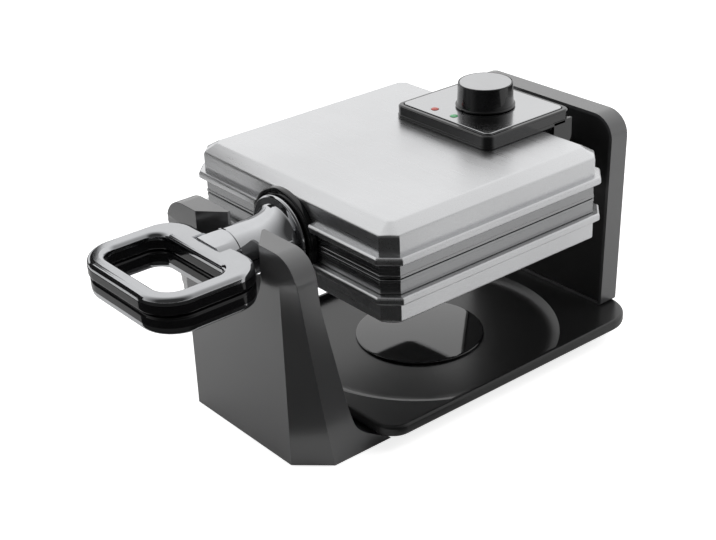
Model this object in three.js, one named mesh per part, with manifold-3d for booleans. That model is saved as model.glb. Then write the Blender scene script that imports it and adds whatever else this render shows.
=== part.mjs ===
// Rotating waffle maker: two hinged, heated halves that turn over together between a front and a rear stand.
// Millimetres, +Z up, the handle towards -Y. The origin lies on the table below the middle of the outline.

import * as THREE from "three";
import { mergeVertices } from "three/addons/utils/BufferGeometryUtils.js";
import Module from "manifold-3d";

const wasm = await Module();
wasm.setup();

// General sizes
const GAP = 0.3; // clearance between two pieces that touch
const OVERRUN = 12; // how far a cut runs past the piece that it cuts
const ARC_STEPS = 3; // half the straight steps in a corner arc
const TURN_STEPS = 32; // straight steps round a large turned piece
const SMALL_TURN_STEPS = 12; // the same for screws, lamps and pins
const WELD = 1e-4; // corners closer together than this become one

// Head: two like halves about the turning axis
const AXIS_HEIGHT = 132;
const HEAD_WIDTH = 200;
const HEAD_DEPTH = 188;
const HEAD_CORNER = 9; // corner chamfer
const HEAD_RISE = 34.7; // parting plane to outer face
const BEVEL_RISE = 5.9;
const BEVEL_INSET = 9.6;
const SHELL_WALL = 2;
const LIP_RISE = 10.5; // parting plane to the near side of the lip
const LIP_HEIGHT = 5.5;
const LIP_OVERHANG = 4.3;
const LIP_EDGE = 1.2;
const PARTING = 0.3; // parting plane to each half

// Waffle plates
const RIM_WALL = 2;
const PLATE_HEIGHT = 16;
const PLATE_MARGIN = 9.5; // flat margin round the well
const WELL_DEPTH = 13;
const WELL_DRAFT = 2.5;
const WELL_CORNER = 8;
const PEG_COUNT = 8; // pegs along each side
const PEG_HEIGHT = 7.5;
const PEG_TOP = 10;
const PEG_FOOT = 13;
const SCORE_RIB = 3; // width of the cross that scores the waffle

// Heating element and reflector behind each plate
const ELEMENT_DIAMETER = 6.5;
const ELEMENT_SIDES = 8;
const ELEMENT_STEPS = 28;
const ELEMENT_SPREAD_SHARE = 0.66; // of half the head's width or depth
const ELEMENT_WAIST_SHARE = 0.26;
const REFLECTOR_SHEET = 1;
const REFLECTOR_INSET = 7;
const REFLECTOR_ROOM = 3; // above the element

// Front neck and collar
const COLLAR_RADIUS = 31.5;
const COLLAR_THICKNESS = 4.2;
const COLLAR_EDGE = 1;
const RING_RADIUS = 27.5;
const RING_THICKNESS = 3.6;
const BELL_RADIUS = 22.5;
const BELL_LENGTH = 18;
const BELL_STEPS = 4;
const NECK_RADIUS = 17.5;
const SPIGOT_RADIUS = 14;

// Handle loops
const HANDLE_WIDTH = 99;
const HANDLE_CLEARANCE = 51; // head to the back bar
const UPPER_LENGTH = 77; // of the upper loop
const LOWER_LENGTH = 76;
const HANDLE_THICKNESS = 12;
const HANDLE_EDGE = 1.8;
const RAIL_SHARE = 0.149; // of the upper loop's length, for both loops
const BACK_RAIL_SHARE = 0.27;
const FRONT_RADIUS_SHARE = 0.312;
const BACK_RADIUS_SHARE = 0.26;
const TRIM_INSET_SHARE = 0.226; // of the rail's width
const TRIM_THICKNESS = 1.2;
const TRIM_PROUD = 0.3;
const TONGUE_WIDTH = 30;
const TONGUE_SEAT = 5; // parting plane to the seat in the back bar
const TONGUE_CROWN = 1.5; // tongue above the loop

// Front stand
const STAND_CLEARANCE = 46.5; // head to the front plane
const STAND_WIDTH = 140;
const STAND_FLARE = 2; // extra half width at the table
const STAND_HEIGHT = 151;
const STAND_DEPTH = 68.5; // at the foot
const STAND_SHOULDER = 20;
const STAND_WALL = 3;
const STAND_LIFT = 1.5; // table to the plate in the stand's foot
const STAND_WALL_LIFT = 0.5;
const STAND_BACK_SHARES = [
  [0.235, 1],
  [0.24, 0.81],
  [0.3, 0.655],
  [0.372, 0.503],
  [0.435, 0.37],
  [0.495, 0.25],
  [0.565, 0.15],
  [0.66, 0.1],
  [0.775, 0.065],
  [1, 0],
]; // depth behind the front plane and height, as shares of the foot's depth and the stand's height
const FACET_DEPTH = 18.5; // corner facet at the table
const FACET_WIDTH = 17.5;
const FACET_HEIGHT = 141; // where the facet runs out
const FACET_STEPS = 6;
const NOTCH_CLEARANCE = 0.8; // round the neck
const LEAD_IN_RADIUS = 34;
const LEAD_IN_DEPTH = 14;
const FOOT_PLATE = 3;

// Tray and pan under the head
const TRAY_WIDTH = 180;
const TRAY_SETBACK = 52.5; // from the front stand's front plane
const TRAY_BOTTOM = 12;
const TRAY_THICKNESS = 8;
const TRAY_CORNER = 15;
const TRAY_BACK_CORNER = 26;
const TRAY_EDGE = 1.5;
const TRAY_RIM = 3.5;
const DISH_MARGIN = 19; // to the tray's front and back, on average
const DISH_SLOPE = 8;
const DISH_DEPTH = 4.4;
const DISH_OFFSET = 14; // towards the front
const DISC_RADIUS = 46;
const DISC_THICKNESS = 2;
const DISC_EDGE = 0.8;
const PAN_WIDTH = 132;
const PAN_INSET = 6; // from the rear stand
const PAN_BOTTOM = 3;
const PAN_WALL = 2.5;
const PAN_CORNER = 8;
const TONGUE_PLATE_WIDTH = 80; // pan's tongue inside the front stand
const TONGUE_PLATE_INSET = 10.5;
const FOOT_RADIUS = 9;
const FOOT_SPREAD = 50;
const FRONT_FOOT_INSET = 28.5;
const REAR_FOOT_INSET = 16;

// Rear stand
const REAR_CLEARANCE = 40; // head to the inner face
const REAR_DEPTH = 16;
const REAR_WIDTH = 140; // at half height
const REAR_FLARE_SHARE = 0.03; // wider at the top, narrower at the foot
const REAR_TOP = 167;
const REAR_CORNER = 17;
const REAR_FOOT_CORNER = 2;
const REAR_WALL = 2.5;
const REAR_EDGE = 1.2;
const COVER_RECESS = 1;
const COVER_THICKNESS = 2.2;

// Rear shaft, bush and stop
const SHAFT_RADIUS = 11;
const SHAFT_BORE = 8;
const SHAFT_FLANGE_RADIUS = 13.5;
const SHAFT_FLANGE = 2.5;
const SHAFT_ENTRY = 12; // into the rear stand
const BUSH_WALL = 3;
const BUSH_FLANGE_RADIUS = 19;
const BUSH_FLANGE = 2;
const STOP_DISC_RADIUS = 17;
const STOP_DISC_THICKNESS = 2.2;
const STOP_TAB_REACH = 26;
const STOP_TAB_WIDTH = 8;
const STOP_POST_RADIUS = 2.6;
const CLIP_RADIUS = 13.5;
const CLIP_THICKNESS = 1.2;
const CLIP_GROOVE = 1;

// Hinge at the back of the head
const PIN_SETBACK = 10;
const PIN_RISE = 26; // parting plane to the pin
const PIN_RADIUS = 2.5;
const PIN_FLOAT = 3; // how far the pin rises in its slots
const LUG_WALL = 2.8;
const LUG_THICKNESS = 6;
const LUG_INSET = 9; // inside the control box's side
const BRACKET_CLEARANCE = 5.2; // head to the bracket's plate
const BRACKET_THICKNESS = 4.8;
const BRACKET_PAD_WIDTH = 60;
const BRACKET_DROP = 30; // parting plane to the lower edge
const BRACKET_SCREW_DROP = 23;
const BRACKET_SCREW_SPREAD = 20;
const CHEEK_RADIUS = 8.8;

// Control box on the upper half
const BOX_X = 9; // the knob's axis
const BOX_LEFT = 48.5; // from the knob's axis
const BOX_RIGHT = 44.5;
const BOX_DEPTH = 81;
const BOX_OVERHANG = 19; // behind the head
const BOX_HEIGHT = 9.2;
const BOX_CORNER = 7;
const BOX_WALL = 2.4;
const BOX_EDGE = 1;
const PANEL_MARGIN = 4;
const PANEL_THICKNESS = 1.4;
const PANEL_PROUD = 0.5;
const PANEL_CORNER = 4.5;
const KNOB_INSET = 39.5; // from the box's back
const KNOB_RADIUS = 19.5;
const KNOB_TOP_RADIUS = 18.8;
const KNOB_SKIRT_RADIUS = 20.6;
const KNOB_SKIRT = 1.6;
const KNOB_HEIGHT = 16.8;
const KNOB_EDGE = 1;
const KNOB_LIFT = 0.5;
const CAP_RADIUS = 16.5;
const CAP_THICKNESS = 1.2;
const SPINDLE_RADIUS = 3;
const SPINDLE_ENTRY = 8; // into the thermostat
const SPINDLE_GRIP = 10; // into the knob
const THERMOSTAT_SIDE = 24;
const THERMOSTAT_ROOM = 1;
const CONTACT_WINDOW_WIDTH = 16;
const CONTACT_THICKNESS = 0.9;
const CONTACT_WIDTH = 6;
const CONTACT_TRAVEL = 0.8;
const FUSE_RADIUS = 2.6;
const FUSE_LENGTH = 14;
const FUSE_X = -42;
const LAMP_RADIUS = 2.6;
const LAMP_FLANGE_RADIUS = 4;
const LAMP_FLANGE = 1;
const LAMP_PROUD = 0.7;
const LAMP_INSET = 12; // from the box's front
const RED_LAMP_X = -10;
const GREEN_LAMP_X = 9;

// Screws
const SCREW_RADIUS = 1.6;
const SCREW_HEAD_RADIUS = 3.4;
const SCREW_HEAD = 1.8;
const BOSS_RADIUS = 4.4;
const SCREW_BITE = 8; // thread in its boss
const FRONT_SCREW_SPREAD = 28;
const FRONT_SCREW_INSET = 36.5;
const REAR_SCREW_SPREAD = 45;
const TRAY_SCREW_SPREAD = 52;
const TRAY_SCREW_INSET = 10;
const TRAY_SCREW_BITE = 4.5;
const BOX_SCREW_INSET = 8;

// Mains parts in the rear stand
const TERMINAL_WIDTH = 30;
const TERMINAL_HEIGHT = 16;
const TERMINAL_DEPTH = 8;
const TERMINAL_Z = 62;
const TERMINAL_SLOT = 3;
const TERMINAL_COUNT = 3;
const GLAND_X = 20;
const GLAND_Z = 38;
const GLAND_RADIUS = 5.5;
const GLAND_FLANGE_RADIUS = 8;
const GLAND_FLANGE = 2;
const GLAND_BORE = 3.4;

// Places that follow from the sizes above
const headHalfX = HEAD_WIDTH / 2;
const headHalfY = HEAD_DEPTH / 2;
const handleBack = headHalfY + HANDLE_CLEARANCE;
const upperReach = handleBack + UPPER_LENGTH;
const lowerReach = handleBack + LOWER_LENGTH;
const standFront = headHalfY + STAND_CLEARANCE;
const rearFront = headHalfY + REAR_CLEARANCE;
const rearBack = rearFront + REAR_DEPTH;
const shaftEnd = rearFront + SHAFT_ENTRY;
const trayFront = standFront - TRAY_SETBACK;
const dishRadius = (trayFront + rearBack) / 2 - DISH_MARGIN;
const dishY = (rearBack - trayFront) / 2 - DISH_OFFSET;
const panBack = rearFront - PAN_INSET;
const tonguePlateReach = standFront - TONGUE_PLATE_INSET;
const frontFootY = FRONT_FOOT_INSET - standFront;
const rearFootY = panBack - REAR_FOOT_INSET;
const frontScrewY = FRONT_SCREW_INSET - standFront;
const trayScrewY = panBack - TRAY_SCREW_INSET;
const bracketFace = headHalfY + BRACKET_CLEARANCE;
const pinY = headHalfY + PIN_SETBACK;
const boxBack = headHalfY + BOX_OVERHANG;
const boxFront = boxBack - BOX_DEPTH;
const knobY = boxBack - KNOB_INSET;
const lampY = boxFront + LAMP_INSET;
const screwHole = SCREW_RADIUS + GAP;
const trayTop = TRAY_BOTTOM + TRAY_THICKNESS;
const dishFloor = trayTop - DISH_DEPTH;
const panTop = TRAY_BOTTOM - GAP;
const panFront = STAND_DEPTH - standFront + GAP;
const footPlateTop = STAND_LIFT + FOOT_PLATE;
const handleTop = PARTING + HANDLE_THICKNESS;
const handleRail = UPPER_LENGTH * RAIL_SHARE;
const handleBackRail = UPPER_LENGTH * BACK_RAIL_SHARE;
const handleFrontRadius = UPPER_LENGTH * FRONT_RADIUS_SHARE;
const handleBackRadius = UPPER_LENGTH * BACK_RADIUS_SHARE;
const trimInset = handleRail * TRIM_INSET_SHARE;
const elementRise = PLATE_HEIGHT + GAP + ELEMENT_DIAMETER / 2;
const reflectorTop = elementRise + ELEMENT_DIAMETER / 2 + REFLECTOR_ROOM;
const boxBase = HEAD_RISE + GAP;
const boxTop = boxBase + BOX_HEIGHT;
const boxCeiling = boxTop - PANEL_THICKNESS - BOX_WALL;
const boxLeft = BOX_X - BOX_LEFT;
const boxRight = BOX_X + BOX_RIGHT;
const panelTop = boxTop + PANEL_PROUD;
const knobBase = panelTop + KNOB_LIFT;
const knobTop = knobBase + KNOB_HEIGHT;
const thermostatTop = boxCeiling - GAP;
const thermostatBottom = reflectorTop + GAP;
const windowBottom = thermostatBottom + BOX_WALL;
const windowTop = windowBottom + 2 * CONTACT_THICKNESS + CONTACT_TRAVEL + 2 * GAP;
const bracketBack = bracketFace + BRACKET_THICKNESS;
const pinSlot = PIN_RADIUS + GAP;
const lugRadius = pinSlot + LUG_WALL;
const coverFront = rearFront + COVER_RECESS;
const coverBack = coverFront + COVER_THICKNESS;
const rearInside = rearBack - REAR_WALL;
const rearBase = trayTop + GAP;
const bushFlangeY = coverBack + GAP;
const stopDiscY = bushFlangeY + BUSH_FLANGE + GAP;
const clipY = stopDiscY + STOP_DISC_THICKNESS + GAP;
const originShift = (Math.max(upperReach, lowerReach) - rearBack) / 2;

// Finishes, as colour, roughness and metalness
const FINISHES = {
  brushedSteel: [0xc9cacc, 0.32, 0.9],
  darkSteel: [0x4a4c50, 0.3, 0.85],
  chrome: [0xd6d8db, 0.12, 1],
  castAluminium: [0x6b6c6e, 0.55, 0.8],
  coatedPlate: [0x2b2b2d, 0.5, 0.3],
  blackPlastic: [0x1b1c1e, 0.35, 0],
  greyPlastic: [0x3a3b3d, 0.55, 0],
  glossBlack: [0x0d0d0f, 0.12, 0],
  rubber: [0x151515, 0.9, 0],
  zincSteel: [0x9a9b9d, 0.4, 0.9],
  aluminiumSheet: [0xb4b6b8, 0.4, 0.9],
  heater: [0x5c5a57, 0.5, 0.7],
  ceramic: [0xe2ddd0, 0.7, 0],
  brass: [0xb5985a, 0.35, 0.9],
  redLens: [0xb3261e, 0.15, 0],
  greenLens: [0x2e8b45, 0.15, 0],
  nylon: [0xd8d5ca, 0.6, 0],
};

// Solid modelling helpers

function toSolid(geometry) {
  const bare = geometry.clone();
  for (const name of ["normal", "uv"]) bare.deleteAttribute(name);
  const merged = mergeVertices(bare, WELD);
  return new wasm.Manifold(
    new wasm.Mesh({
      numProp: 3,
      vertProperties: merged.attributes.position.array,
      triVerts: new Uint32Array(merged.index.array),
    }),
  );
}

function toGeometry(solid) {
  const mesh = solid.getMesh();
  const geometry = new THREE.BufferGeometry();
  geometry.setAttribute("position", new THREE.BufferAttribute(mesh.vertProperties, 3));
  geometry.setIndex(new THREE.BufferAttribute(mesh.triVerts, 1));
  return geometry;
}

function join(first, ...others) {
  return toGeometry(others.reduce((sum, g) => sum.add(toSolid(g)), toSolid(first)));
}

function cut(first, ...others) {
  return toGeometry(others.reduce((rest, g) => rest.subtract(toSolid(g)), toSolid(first)));
}

function common(first, ...others) {
  return toGeometry(others.reduce((rest, g) => rest.intersect(toSolid(g)), toSolid(first)));
}

function block([x0, x1], [y0, y1], [z0, z1]) {
  const box = new THREE.BoxGeometry(x1 - x0, y1 - y0, z1 - z0);
  return box.translate((x0 + x1) / 2, (y0 + y1) / 2, (z0 + z1) / 2);
}

// Keeps what lies inside the given limits; an axis with no limits stays whole.
function keep(geometry, { x, y, z }) {
  geometry.computeBoundingBox();
  const { min, max } = geometry.boundingBox;
  const whole = (axis) => [min[axis] - OVERRUN, max[axis] + OVERRUN];
  return common(geometry, block(x ?? whole("x"), y ?? whole("y"), z ?? whole("z")));
}

// A flat outline raised along Z, with both rims bevelled where a rise is given.
function raised(shape, [z0, z1], rise = 0, inset = rise) {
  const geometry = new THREE.ExtrudeGeometry(shape, {
    depth: z1 - z0 - 2 * rise,
    curveSegments: ARC_STEPS,
    bevelEnabled: rise > 0,
    bevelThickness: rise,
    bevelSize: inset,
    bevelOffset: -inset,
    bevelSegments: 1,
  });
  return geometry.translate(0, 0, z0 + rise);
}

// The same with only its far rim bevelled.
function raisedOneRim(shape, [z0, z1], rise, inset = rise) {
  return keep(raised(shape, [z0 - 2 * rise, z1], rise, inset), { z: [z0, z1 + OVERRUN] });
}

// An outline drawn in Y and Z, extruded along X.
function alongX(shape, [x0, x1]) {
  const geometry = new THREE.ExtrudeGeometry(shape, {
    depth: x1 - x0,
    curveSegments: ARC_STEPS,
    bevelEnabled: false,
  });
  geometry.applyMatrix4(
    new THREE.Matrix4().makeBasis(
      new THREE.Vector3(0, 1, 0),
      new THREE.Vector3(0, 0, 1),
      new THREE.Vector3(1, 0, 0),
    ),
  );
  return geometry.translate(x0, 0, 0);
}

// An outline drawn in X and Z, extruded along Y, with both rims bevelled where a rise is given.
function alongY(shape, [y0, y1], rise = 0) {
  return raised(shape, [-y1, -y0], rise).rotateX(Math.PI / 2);
}

// A profile of [radius, height] pairs turned about Z; it starts and ends on the axis or closes on itself.
function turned(profile, steps = TURN_STEPS) {
  const points = profile.map(([radius, height]) => new THREE.Vector2(radius, height));
  return new THREE.LatheGeometry(points, steps).rotateX(Math.PI / 2);
}

// The same about Y, with the profile's heights along Y.
function turnedAlongY(profile, steps = TURN_STEPS) {
  const points = profile.map(([radius, along]) => new THREE.Vector2(radius, along));
  return new THREE.LatheGeometry(points, steps);
}

function rod(radius, [z0, z1], steps = SMALL_TURN_STEPS) {
  return new THREE.CylinderGeometry(radius, radius, z1 - z0, steps)
    .rotateX(Math.PI / 2)
    .translate(0, 0, (z0 + z1) / 2);
}

function rodAlongY(radius, [y0, y1], steps = SMALL_TURN_STEPS) {
  return new THREE.CylinderGeometry(radius, radius, y1 - y0, steps).translate(0, (y0 + y1) / 2, 0);
}

function rodAlongX(radius, [x0, x1], steps = SMALL_TURN_STEPS) {
  return new THREE.CylinderGeometry(radius, radius, x1 - x0, steps)
    .rotateZ(-Math.PI / 2)
    .translate((x0 + x1) / 2, 0, 0);
}

function polygon(points) {
  return new THREE.Shape(points.map(([x, y]) => new THREE.Vector2(x, y)));
}

function chamferedOutline(halfX, halfY, corner) {
  return polygon([
    [halfX - corner, -halfY],
    [halfX, corner - halfY],
    [halfX, halfY - corner],
    [halfX - corner, halfY],
    [corner - halfX, halfY],
    [-halfX, halfY - corner],
    [-halfX, corner - halfY],
    [corner - halfX, -halfY],
  ]);
}

// The head's outline, grown outwards by the given amount.
function headOutline(growth = 0) {
  const corner = HEAD_CORNER + growth * (2 - Math.SQRT2);
  return chamferedOutline(headHalfX + growth, headHalfY + growth, corner);
}

// A rectangle with a radius for its low-Y pair of corners and one for its high-Y pair.
function roundedOutline([x0, x1], [y0, y1], lowRadius, highRadius = lowRadius) {
  const shape = new THREE.Shape();
  const turn = Math.PI / 2;
  shape.moveTo(x0 + lowRadius, y0);
  shape.lineTo(x1 - lowRadius, y0);
  shape.absarc(x1 - lowRadius, y0 + lowRadius, lowRadius, -turn, 0);
  shape.lineTo(x1, y1 - highRadius);
  shape.absarc(x1 - highRadius, y1 - highRadius, highRadius, 0, turn);
  shape.lineTo(x0 + highRadius, y1);
  shape.absarc(x0 + highRadius, y1 - highRadius, highRadius, turn, 2 * turn);
  shape.lineTo(x0, y0 + lowRadius);
  shape.absarc(x0 + lowRadius, y0 + lowRadius, lowRadius, 2 * turn, 3 * turn);
  return shape;
}

// A screw that points along +Z from the underside of its head.
function screw(length) {
  return join(
    rod(SCREW_HEAD_RADIUS, [-SCREW_HEAD, 0]),
    rod(SCREW_RADIUS, [-SCREW_HEAD / 2, length]),
  );
}

// Head shells, rims and plates, in a half's own frame with z measured from the turning axis

function headShell() {
  const body = raisedOneRim(headOutline(), [LIP_RISE, HEAD_RISE], BEVEL_RISE, BEVEL_INSET);
  const lip = raised(headOutline(LIP_OVERHANG), [LIP_RISE, LIP_RISE + LIP_HEIGHT], LIP_EDGE);
  const hollow = raised(
    headOutline(-SHELL_WALL),
    [-HEAD_RISE, HEAD_RISE - SHELL_WALL],
    BEVEL_RISE,
    BEVEL_INSET,
  );
  const collarSeat = rodAlongY(COLLAR_RADIUS + GAP, [-headHalfY - OVERRUN, -headHalfY], TURN_STEPS);
  return cut(join(body, lip), hollow, collarSeat);
}

function neckHole() {
  return rodAlongY(SPIGOT_RADIUS + GAP, [-headHalfY - OVERRUN, SHELL_WALL + GAP - headHalfY], TURN_STEPS);
}

function headRim() {
  const span = [PARTING, LIP_RISE - GAP];
  const inside = raised(headOutline(-RIM_WALL), [PARTING - OVERRUN, LIP_RISE + OVERRUN]);
  return cut(raised(headOutline(), span), inside, neckHole());
}

function wafflePlate() {
  const body = raised(headOutline(-RIM_WALL - GAP), [PARTING, PLATE_HEIGHT]);
  const wellX = headHalfX - RIM_WALL - PLATE_MARGIN;
  const wellY = headHalfY - RIM_WALL - PLATE_MARGIN;
  const well = raised(
    chamferedOutline(wellX, wellY, WELL_CORNER),
    [-WELL_DEPTH - PARTING, WELL_DEPTH + PARTING],
    WELL_DEPTH,
    WELL_DRAFT,
  );
  const pegSpan = [WELL_DEPTH - PEG_HEIGHT, WELL_DEPTH + (PLATE_HEIGHT - WELL_DEPTH) / 2];
  const corner = (side) => side / Math.SQRT2;
  const pegs = [];
  for (let i = 0; i < PEG_COUNT; i++) {
    for (let j = 0; j < PEG_COUNT; j++) {
      const place = (n, half) => ((n + 0.5) / PEG_COUNT - 0.5) * 2 * (half - WELL_DRAFT);
      const peg = new THREE.CylinderGeometry(corner(PEG_FOOT), corner(PEG_TOP), pegSpan[1] - pegSpan[0], 4);
      peg.rotateY(Math.PI / 4).rotateX(Math.PI / 2);
      pegs.push(peg.translate(place(i, wellX), place(j, wellY), (pegSpan[0] + pegSpan[1]) / 2));
    }
  }
  const rib = [-SCORE_RIB / 2, SCORE_RIB / 2];
  const ribs = [block(rib, [-wellY, wellY], pegSpan), block([-wellX, wellX], rib, pegSpan)];
  return join(cut(body, well), ...pegs, ...ribs);
}

function heatingElement() {
  const spreadX = headHalfX * ELEMENT_SPREAD_SHARE;
  const spreadY = headHalfY * ELEMENT_SPREAD_SHARE;
  const waist = headHalfX * ELEMENT_WAIST_SHARE;
  const place = (x, y) => new THREE.Vector3(x, y, elementRise);
  const path = new THREE.CatmullRomCurve3([
    place(-waist, spreadY),
    place(-spreadX, spreadY),
    place(-spreadX, 0),
    place(-spreadX, -spreadY),
    place(-waist, -spreadY),
    place(-waist, 0),
    place(0, waist),
    place(waist, 0),
    place(waist, -spreadY),
    place(spreadX, -spreadY),
    place(spreadX, 0),
    place(spreadX, spreadY),
    place(waist, spreadY),
  ]);
  const section = new THREE.Shape();
  section.absarc(0, 0, ELEMENT_DIAMETER / 2, 0, 2 * Math.PI);
  return new THREE.ExtrudeGeometry(section, {
    extrudePath: path,
    steps: ELEMENT_STEPS,
    curveSegments: ELEMENT_SIDES / 2,
  });
}

function reflector() {
  const span = [PLATE_HEIGHT + GAP, reflectorTop];
  const outside = raised(headOutline(-REFLECTOR_INSET), span);
  const inside = raised(headOutline(-REFLECTOR_INSET - REFLECTOR_SHEET), [
    span[0] - OVERRUN,
    span[1] - REFLECTOR_SHEET,
  ]);
  return cut(outside, inside);
}

// Collar, neck and handle loops, in a half's own frame

function collar() {
  const y0 = -headHalfY - GAP;
  const y1 = y0 - COLLAR_THICKNESS;
  const bore = SPIGOT_RADIUS + GAP;
  const ring = turnedAlongY([
    [bore, y0],
    [bore, y1],
    [COLLAR_RADIUS - COLLAR_EDGE, y1],
    [COLLAR_RADIUS, y1 + COLLAR_EDGE],
    [COLLAR_RADIUS, y0],
    [bore, y0],
  ]);
  return keep(ring, { z: [PARTING, COLLAR_RADIUS + OVERRUN] });
}

function neck() {
  const wall = -headHalfY + SHELL_WALL;
  const ringBack = -headHalfY - GAP - COLLAR_THICKNESS - GAP;
  const ringFront = ringBack - RING_THICKNESS;
  const bell = [];
  for (let i = 0; i <= BELL_STEPS; i++) {
    const turn = ((i / BELL_STEPS) * Math.PI) / 2;
    const radius = BELL_RADIUS - (BELL_RADIUS - NECK_RADIUS) * Math.sin(turn);
    bell.push([radius, ringFront - BELL_LENGTH * (1 - Math.cos(turn))]);
  }
  const end = -standFront - GAP;
  const round = RING_THICKNESS / 3;
  const profile = [
    [0, end],
    [NECK_RADIUS, end],
    ...bell.reverse(),
    [RING_RADIUS - round, ringFront],
    [RING_RADIUS, ringFront + round],
    [RING_RADIUS, ringBack - round],
    [RING_RADIUS - round, ringBack],
    [SPIGOT_RADIUS, ringBack],
    [SPIGOT_RADIUS, wall],
    [0, wall],
  ];
  const seat = handleBack - GAP;
  const tip = handleBack + handleRail - GAP;
  const tongue = alongX(
    polygon([
      [-standFront, PARTING],
      [-standFront, NECK_RADIUS - GAP],
      [-tip, handleTop + TONGUE_CROWN],
      [-tip, TONGUE_SEAT + GAP],
      [-seat, TONGUE_SEAT + GAP],
      [-seat, PARTING],
    ]),
    [-TONGUE_WIDTH / 2, TONGUE_WIDTH / 2],
  );
  const barrel = rodAlongY(NECK_RADIUS, [-tip - OVERRUN, 0], TURN_STEPS);
  const body = keep(turnedAlongY(profile), { z: [PARTING, RING_RADIUS + OVERRUN] });
  return join(body, common(tongue, barrel));
}

function handleOutline(reach, inset) {
  const half = HANDLE_WIDTH / 2 - inset;
  return roundedOutline(
    [-half, half],
    [inset - reach, -handleBack - inset],
    handleFrontRadius - inset,
    handleBackRadius - inset,
  );
}

function handleOpening(reach, growth) {
  const half = HANDLE_WIDTH / 2 - handleRail + growth;
  const front = handleRail - growth - reach;
  const back = growth - handleBack - handleBackRail;
  const frontRadius = handleFrontRadius - handleRail + growth;
  return roundedOutline([-half, half], [front, back], frontRadius, handleBackRadius / 2);
}

function tongueSeat() {
  const half = TONGUE_WIDTH / 2 + GAP;
  const along = [-handleBack - handleRail, OVERRUN - handleBack];
  return block([-half, half], along, [TONGUE_SEAT, handleTop + OVERRUN]);
}

function handleLoop(reach) {
  const body = raised(handleOutline(reach, 0), [PARTING, handleTop], HANDLE_EDGE);
  const opening = raised(handleOpening(reach, 0), [PARTING - OVERRUN, handleTop + OVERRUN]);
  const recess = raised(handleOutline(reach, trimInset), [handleTop - TRIM_THICKNESS, handleTop + OVERRUN]);
  const island = raised(handleOpening(reach, trimInset), [-OVERRUN, handleTop + 2 * OVERRUN]);
  return cut(body, opening, cut(recess, island), tongueSeat());
}

function handleTrim(reach) {
  const span = [handleTop - TRIM_THICKNESS + GAP, handleTop + TRIM_PROUD];
  const plate = raised(handleOutline(reach, trimInset + GAP), span);
  const opening = raised(handleOpening(reach, trimInset + GAP), [-OVERRUN, handleTop + OVERRUN]);
  return cut(plate, opening, tongueSeat());
}

// Hinge bracket on the lower half, in table-up coordinates measured from the turning axis

function lugPlaces() {
  return [boxLeft + LUG_INSET, boxRight - LUG_INSET - LUG_THICKNESS];
}

function hingeBracket() {
  const [leftLug, rightLug] = lugPlaces();
  const plateTop = PIN_RISE - lugRadius - GAP;
  const ends = [leftLug, rightLug + LUG_THICKNESS];
  const plate = block(ends, [bracketFace, bracketBack], [-BRACKET_DROP, plateTop]);
  const padHalf = BRACKET_PAD_WIDTH / 2;
  const padRise = [-BRACKET_DROP, -LIP_RISE - LIP_HEIGHT - GAP];
  const pad = block([-padHalf, padHalf], [headHalfY + GAP, bracketBack], padRise);
  const lugs = lugPlaces().map((x) => {
    const span = [x, x + LUG_THICKNESS];
    const web = block(span, [pinY - lugRadius, pinY + lugRadius / 2], [0, PIN_RISE + PIN_FLOAT]);
    const eye = rodAlongX(lugRadius, span).translate(0, pinY, PIN_RISE + PIN_FLOAT);
    const cheek = block(span, [pinY - lugRadius, pinY + lugRadius], [PIN_RISE, PIN_RISE + PIN_FLOAT]);
    const round = rodAlongX(lugRadius, span).translate(0, pinY, PIN_RISE);
    return join(web, eye, cheek, round);
  });
  const slotSpan = [ends[0] - OVERRUN, ends[1] + OVERRUN];
  const slot = join(
    rodAlongX(pinSlot, slotSpan).translate(0, pinY, PIN_RISE),
    rodAlongX(pinSlot, slotSpan).translate(0, pinY, PIN_RISE + PIN_FLOAT),
    block(slotSpan, [pinY - pinSlot, pinY + pinSlot], [PIN_RISE, PIN_RISE + PIN_FLOAT]),
  );
  const wireHole = rodAlongY(SHAFT_BORE, [headHalfY, bracketBack + OVERRUN], TURN_STEPS);
  const screwHoles = [-1, 1].map((side) =>
    rodAlongY(screwHole, [headHalfY - OVERRUN, bracketBack + OVERRUN]).translate(
      side * BRACKET_SCREW_SPREAD,
      0,
      -BRACKET_SCREW_DROP,
    ),
  );
  return cut(join(plate, pad, ...lugs), slot, wireHole, ...screwHoles);
}

function hingePin() {
  const end = BOX_WALL / 2;
  return rodAlongX(PIN_RADIUS, [boxLeft + end, boxRight - end]).translate(0, pinY, PIN_RISE);
}

function rearShaft() {
  const flangeBack = bracketBack + GAP;
  const grooveRadius = SHAFT_RADIUS - CLIP_GROOVE;
  const groove = [clipY - GAP / 2, clipY + CLIP_THICKNESS + GAP / 2];
  return turnedAlongY([
    [SHAFT_BORE, flangeBack],
    [SHAFT_FLANGE_RADIUS, flangeBack],
    [SHAFT_FLANGE_RADIUS, flangeBack + SHAFT_FLANGE],
    [SHAFT_RADIUS, flangeBack + SHAFT_FLANGE],
    [SHAFT_RADIUS, groove[0]],
    [grooveRadius, groove[0]],
    [grooveRadius, groove[1]],
    [SHAFT_RADIUS, groove[1]],
    [SHAFT_RADIUS, shaftEnd],
    [SHAFT_BORE, shaftEnd],
    [SHAFT_BORE, flangeBack],
  ]);
}

function stopDisc() {
  const span = [stopDiscY, stopDiscY + STOP_DISC_THICKNESS];
  const half = STOP_TAB_WIDTH / 2;
  const tab = block([0, STOP_TAB_REACH], span, [-half, half]);
  const bore = rodAlongY(SHAFT_RADIUS + GAP, [span[0] - OVERRUN, span[1] + OVERRUN], TURN_STEPS);
  return cut(join(rodAlongY(STOP_DISC_RADIUS, span, TURN_STEPS), tab), bore);
}

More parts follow.
